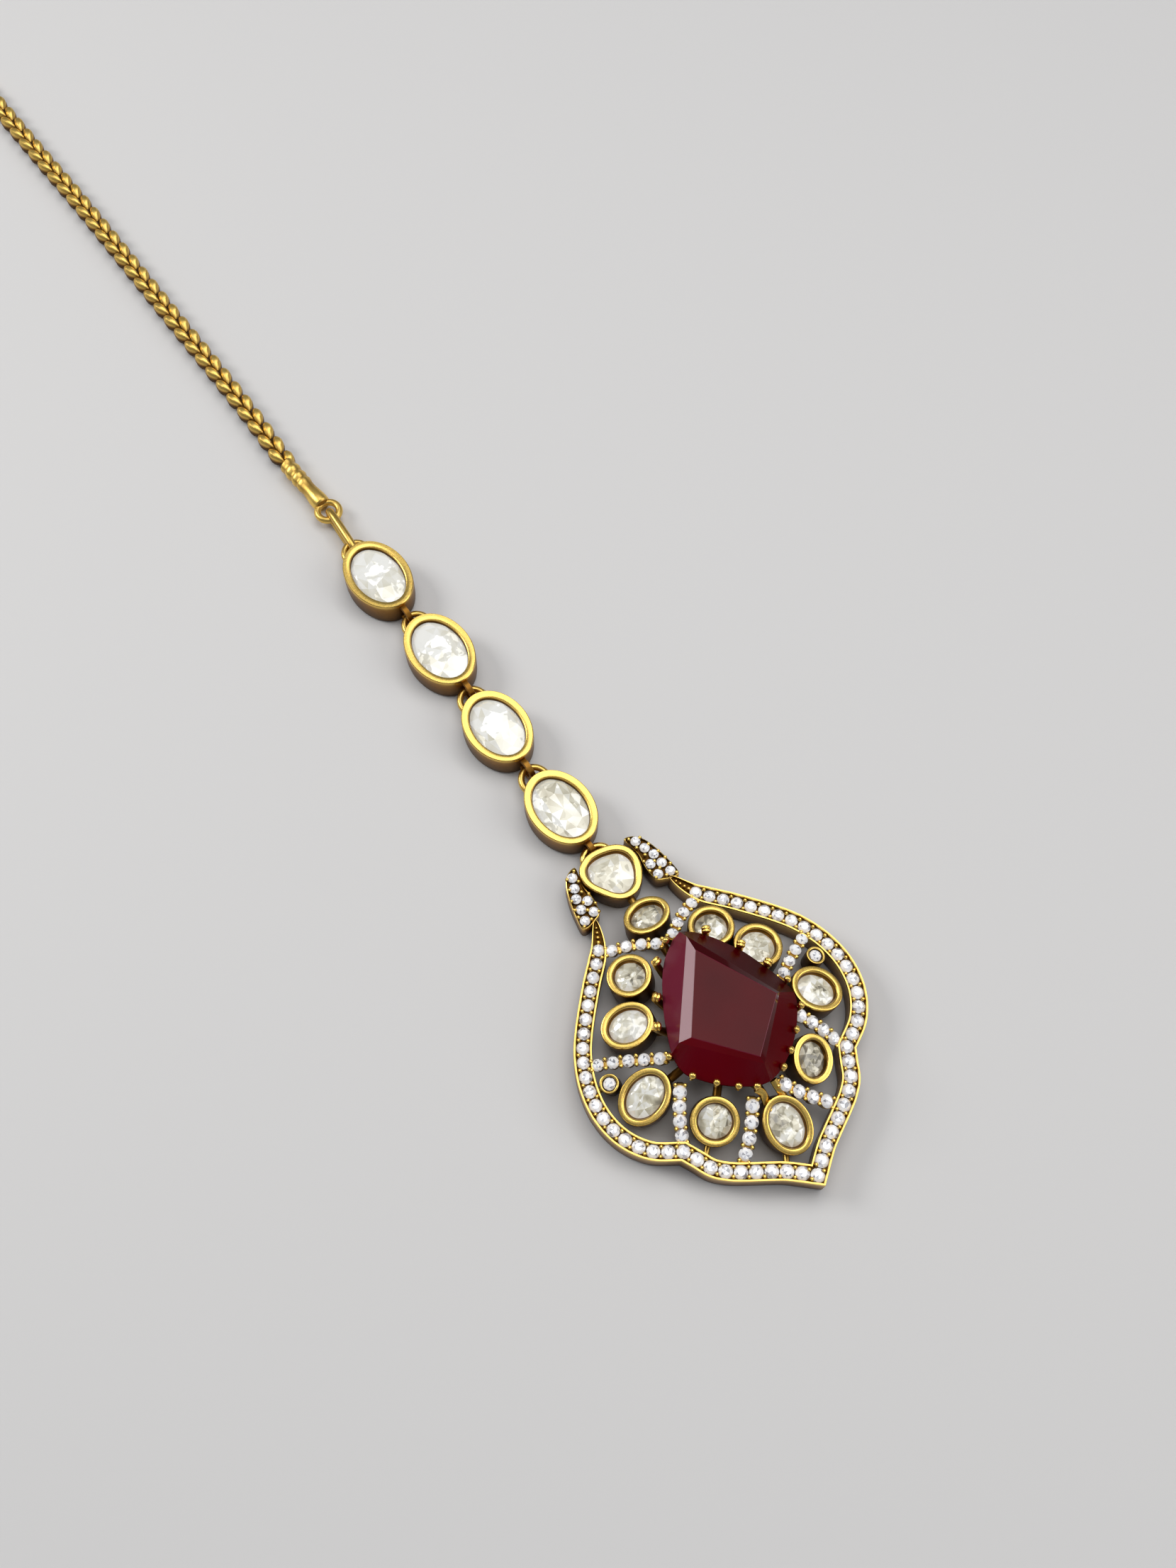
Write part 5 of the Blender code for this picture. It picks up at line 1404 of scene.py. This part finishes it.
class TIKKA_OT_links(bpy.types.Operator):
    """Hang the oval links, the jump link and the end cap in each other"""
    bl_idname = "tikka.links"
    bl_label = "Links and end cap"

    def execute(self, context):
        """Make the links with their stones, the jump link and the end cap."""
        scene = context.scene
        sizes = scene.tikka_sizes
        put("top_loop_gold", make_top_loop(sizes), gold(context), "gold", "pendant_setting")
        places, end, along = link_places()
        white = clear_material(scene, "clear_link", 260.0, 0.04, 0.16, 0.24)
        for k, (spot, heading, gap) in enumerate(places):
            spot = spot + np.array(LINK_SHIFTS[k]) * MM
            metal, outline, turn, centre = make_link(sizes, spot, heading, gap, LINK_LIPS[k])
            put(f"link_gold_{k + 1}", metal, gold(context), "gold", f"oval_link_{k + 1}")
            stone = make_link_stone(sizes, outline, turn, centre, 120 + k, LINK_TONES[k])
            put(f"link_stone_{k + 1}", stone, white, "clear_stone", f"stone_oval_{k + 1}",
                crease=1.0)
        ring_centre = cap_ring_centre(end, along)
        put("jump_gold", make_jump_link(end, ring_centre), gold(context), "gold", "jump_link")
        metal, _ = make_end_cap(ring_centre)
        put("cap_gold", metal, satin_gold(context), "gold", "end_cap")
        return {"FINISHED"}


class TIKKA_OT_chain(bpy.types.Operator):
    """Lay the woven chain and its hair hook"""
    bl_idname = "tikka.chain"
    bl_label = "Chain and hook"

    def execute(self, context):
        """Make the chain and the hook."""
        _, end, along = link_places()
        _, start = make_end_cap(cap_ring_centre(end, along))
        metal, ring_centre, run = make_chain(start)
        put("chain_gold", metal, satin_gold(context), "gold", "chain")
        hook = make_hook(context.scene.tikka_sizes, ring_centre, run)
        put("hook_gold", hook, gold(context), "gold", "hair_hook")
        return {"FINISHED"}


def soft_light(name, place_m, aim_m, size, power, colour=(1.0, 1.0, 1.0)):
    """Square area light aimed at a point."""
    light = bpy.data.lights.new(name, "AREA")
    light.shape = "SQUARE"
    light.size = size
    light.energy = power
    light.color = colour
    made = bpy.data.objects.new(name, light)
    made.location = place_m
    back = unit(np.asarray(place_m, float) - np.asarray(aim_m, float))
    side = unit(np.cross((0.0, 1.0, 0.0), back))
    up = np.cross(back, side)
    matrix = np.eye(4)
    matrix[:3, 0], matrix[:3, 1], matrix[:3, 2], matrix[:3, 3] = side, up, back, place_m
    made.matrix_world = Matrix(matrix.tolist())
    bpy.context.scene.collection.objects.link(made)


class TIKKA_OT_stage(bpy.types.Operator):
    """Put the floor, the soft lights and the photograph's camera round the jewel"""
    bl_idname = "tikka.stage"
    bl_label = "Studio stage"

    def execute(self, context):
        """Make the floor, the lights and the camera."""
        scene = context.scene
        paint = Paint("pale_floor")
        grain = paint.noise(900.0, 3.0)
        paint.set(Base_Color=tuple(scene.tikka_finishes.floor), Roughness=0.62,
                  Normal=paint.bump(grain, 0.05, 0.0001))
        reach = 3.0
        shape = Shape()
        corners = level(np.array([(-1, -1), (1, -1), (1, 1), (-1, 1)]) * reach, -0.00012)
        mesh = bpy.data.meshes.new("floor")
        shape.add(corners, [[0, 1, 2, 3]])
        mesh.from_pydata(corners.tolist(), [], shape.faces)
        mesh.materials.append(paint.material)
        floor = bpy.data.objects.new("floor", mesh)
        scene.collection.objects.link(floor)
        world = bpy.data.worlds.new("studio")
        world.use_nodes = True
        back = world.node_tree.nodes["Background"]
        back.inputs["Color"].default_value = (0.90, 0.93, 1.0, 1.0)
        back.inputs["Strength"].default_value = 0.22
        scene.world = world
        scene.view_settings.view_transform = "Standard"
        aim = (0.0, 0.02, 0.0)
        soft_light("overhead", (0.11, 0.10, 0.50), aim, 0.44, 1.22)
        soft_light("window", (-0.25, 0.33, 0.30), aim, 0.18, 0.80, (1.0, 0.99, 0.97))
        soft_light("side", (0.36, -0.26, 0.34), aim, 0.30, 0.70, (1.0, 0.98, 0.95))
        camera = bpy.data.cameras.new("photo_camera")
        camera.sensor_width = 36.0
        camera.lens = CAMERA_LENS
        camera.clip_start = 0.005
        seat = bpy.data.objects.new("photo_camera", camera)
        seat.location = CAMERA_PLACE
        seat.rotation_euler = [math.radians(a) for a in CAMERA_TURN]
        scene.collection.objects.link(seat)
        scene.camera = seat
        return {"FINISHED"}


class TIKKA_PT_panel(bpy.types.Panel):
    """Sizes, finishes and makers of the jewel"""
    bl_idname = "TIKKA_PT_panel"
    bl_label = "Maang Tikka"
    bl_space_type = "VIEW_3D"
    bl_region_type = "UI"
    bl_category = "Maang Tikka"

    def draw(self, context):
        """List the properties and the operators."""
        for group in (context.scene.tikka_sizes, context.scene.tikka_finishes):
            box = self.layout.box()
            for name in group.bl_rna.properties.keys():
                if name not in {"rna_type", "name"}:
                    box.prop(group, name)
        for operator in OPERATORS:
            self.layout.operator(operator.bl_idname)


OPERATORS = (TIKKA_OT_border, TIKKA_OT_bars, TIKKA_OT_bezels, TIKKA_OT_ruby, TIKKA_OT_links,
             TIKKA_OT_chain, TIKKA_OT_stage)


def register():
    """Register the classes and the scene's properties."""
    for made in (TikkaSizes, TikkaFinishes, *OPERATORS, TIKKA_PT_panel):
        bpy.utils.register_class(made)
    bpy.types.Scene.tikka_sizes = PointerProperty(type=TikkaSizes)
    bpy.types.Scene.tikka_finishes = PointerProperty(type=TikkaFinishes)


def unregister():
    """Remove the scene's properties and the classes."""
    del bpy.types.Scene.tikka_finishes
    del bpy.types.Scene.tikka_sizes
    for made in (TIKKA_PT_panel, *OPERATORS[::-1], TikkaFinishes, TikkaSizes):
        bpy.utils.unregister_class(made)


def main():
    """Make every piece and the stage."""
    register()
    bpy.ops.tikka.border()
    bpy.ops.tikka.bars()
    bpy.ops.tikka.bezels()
    bpy.ops.tikka.ruby()
    bpy.ops.tikka.links()
    bpy.ops.tikka.chain()
    bpy.ops.tikka.stage()


if __name__ == "__main__":
    main()
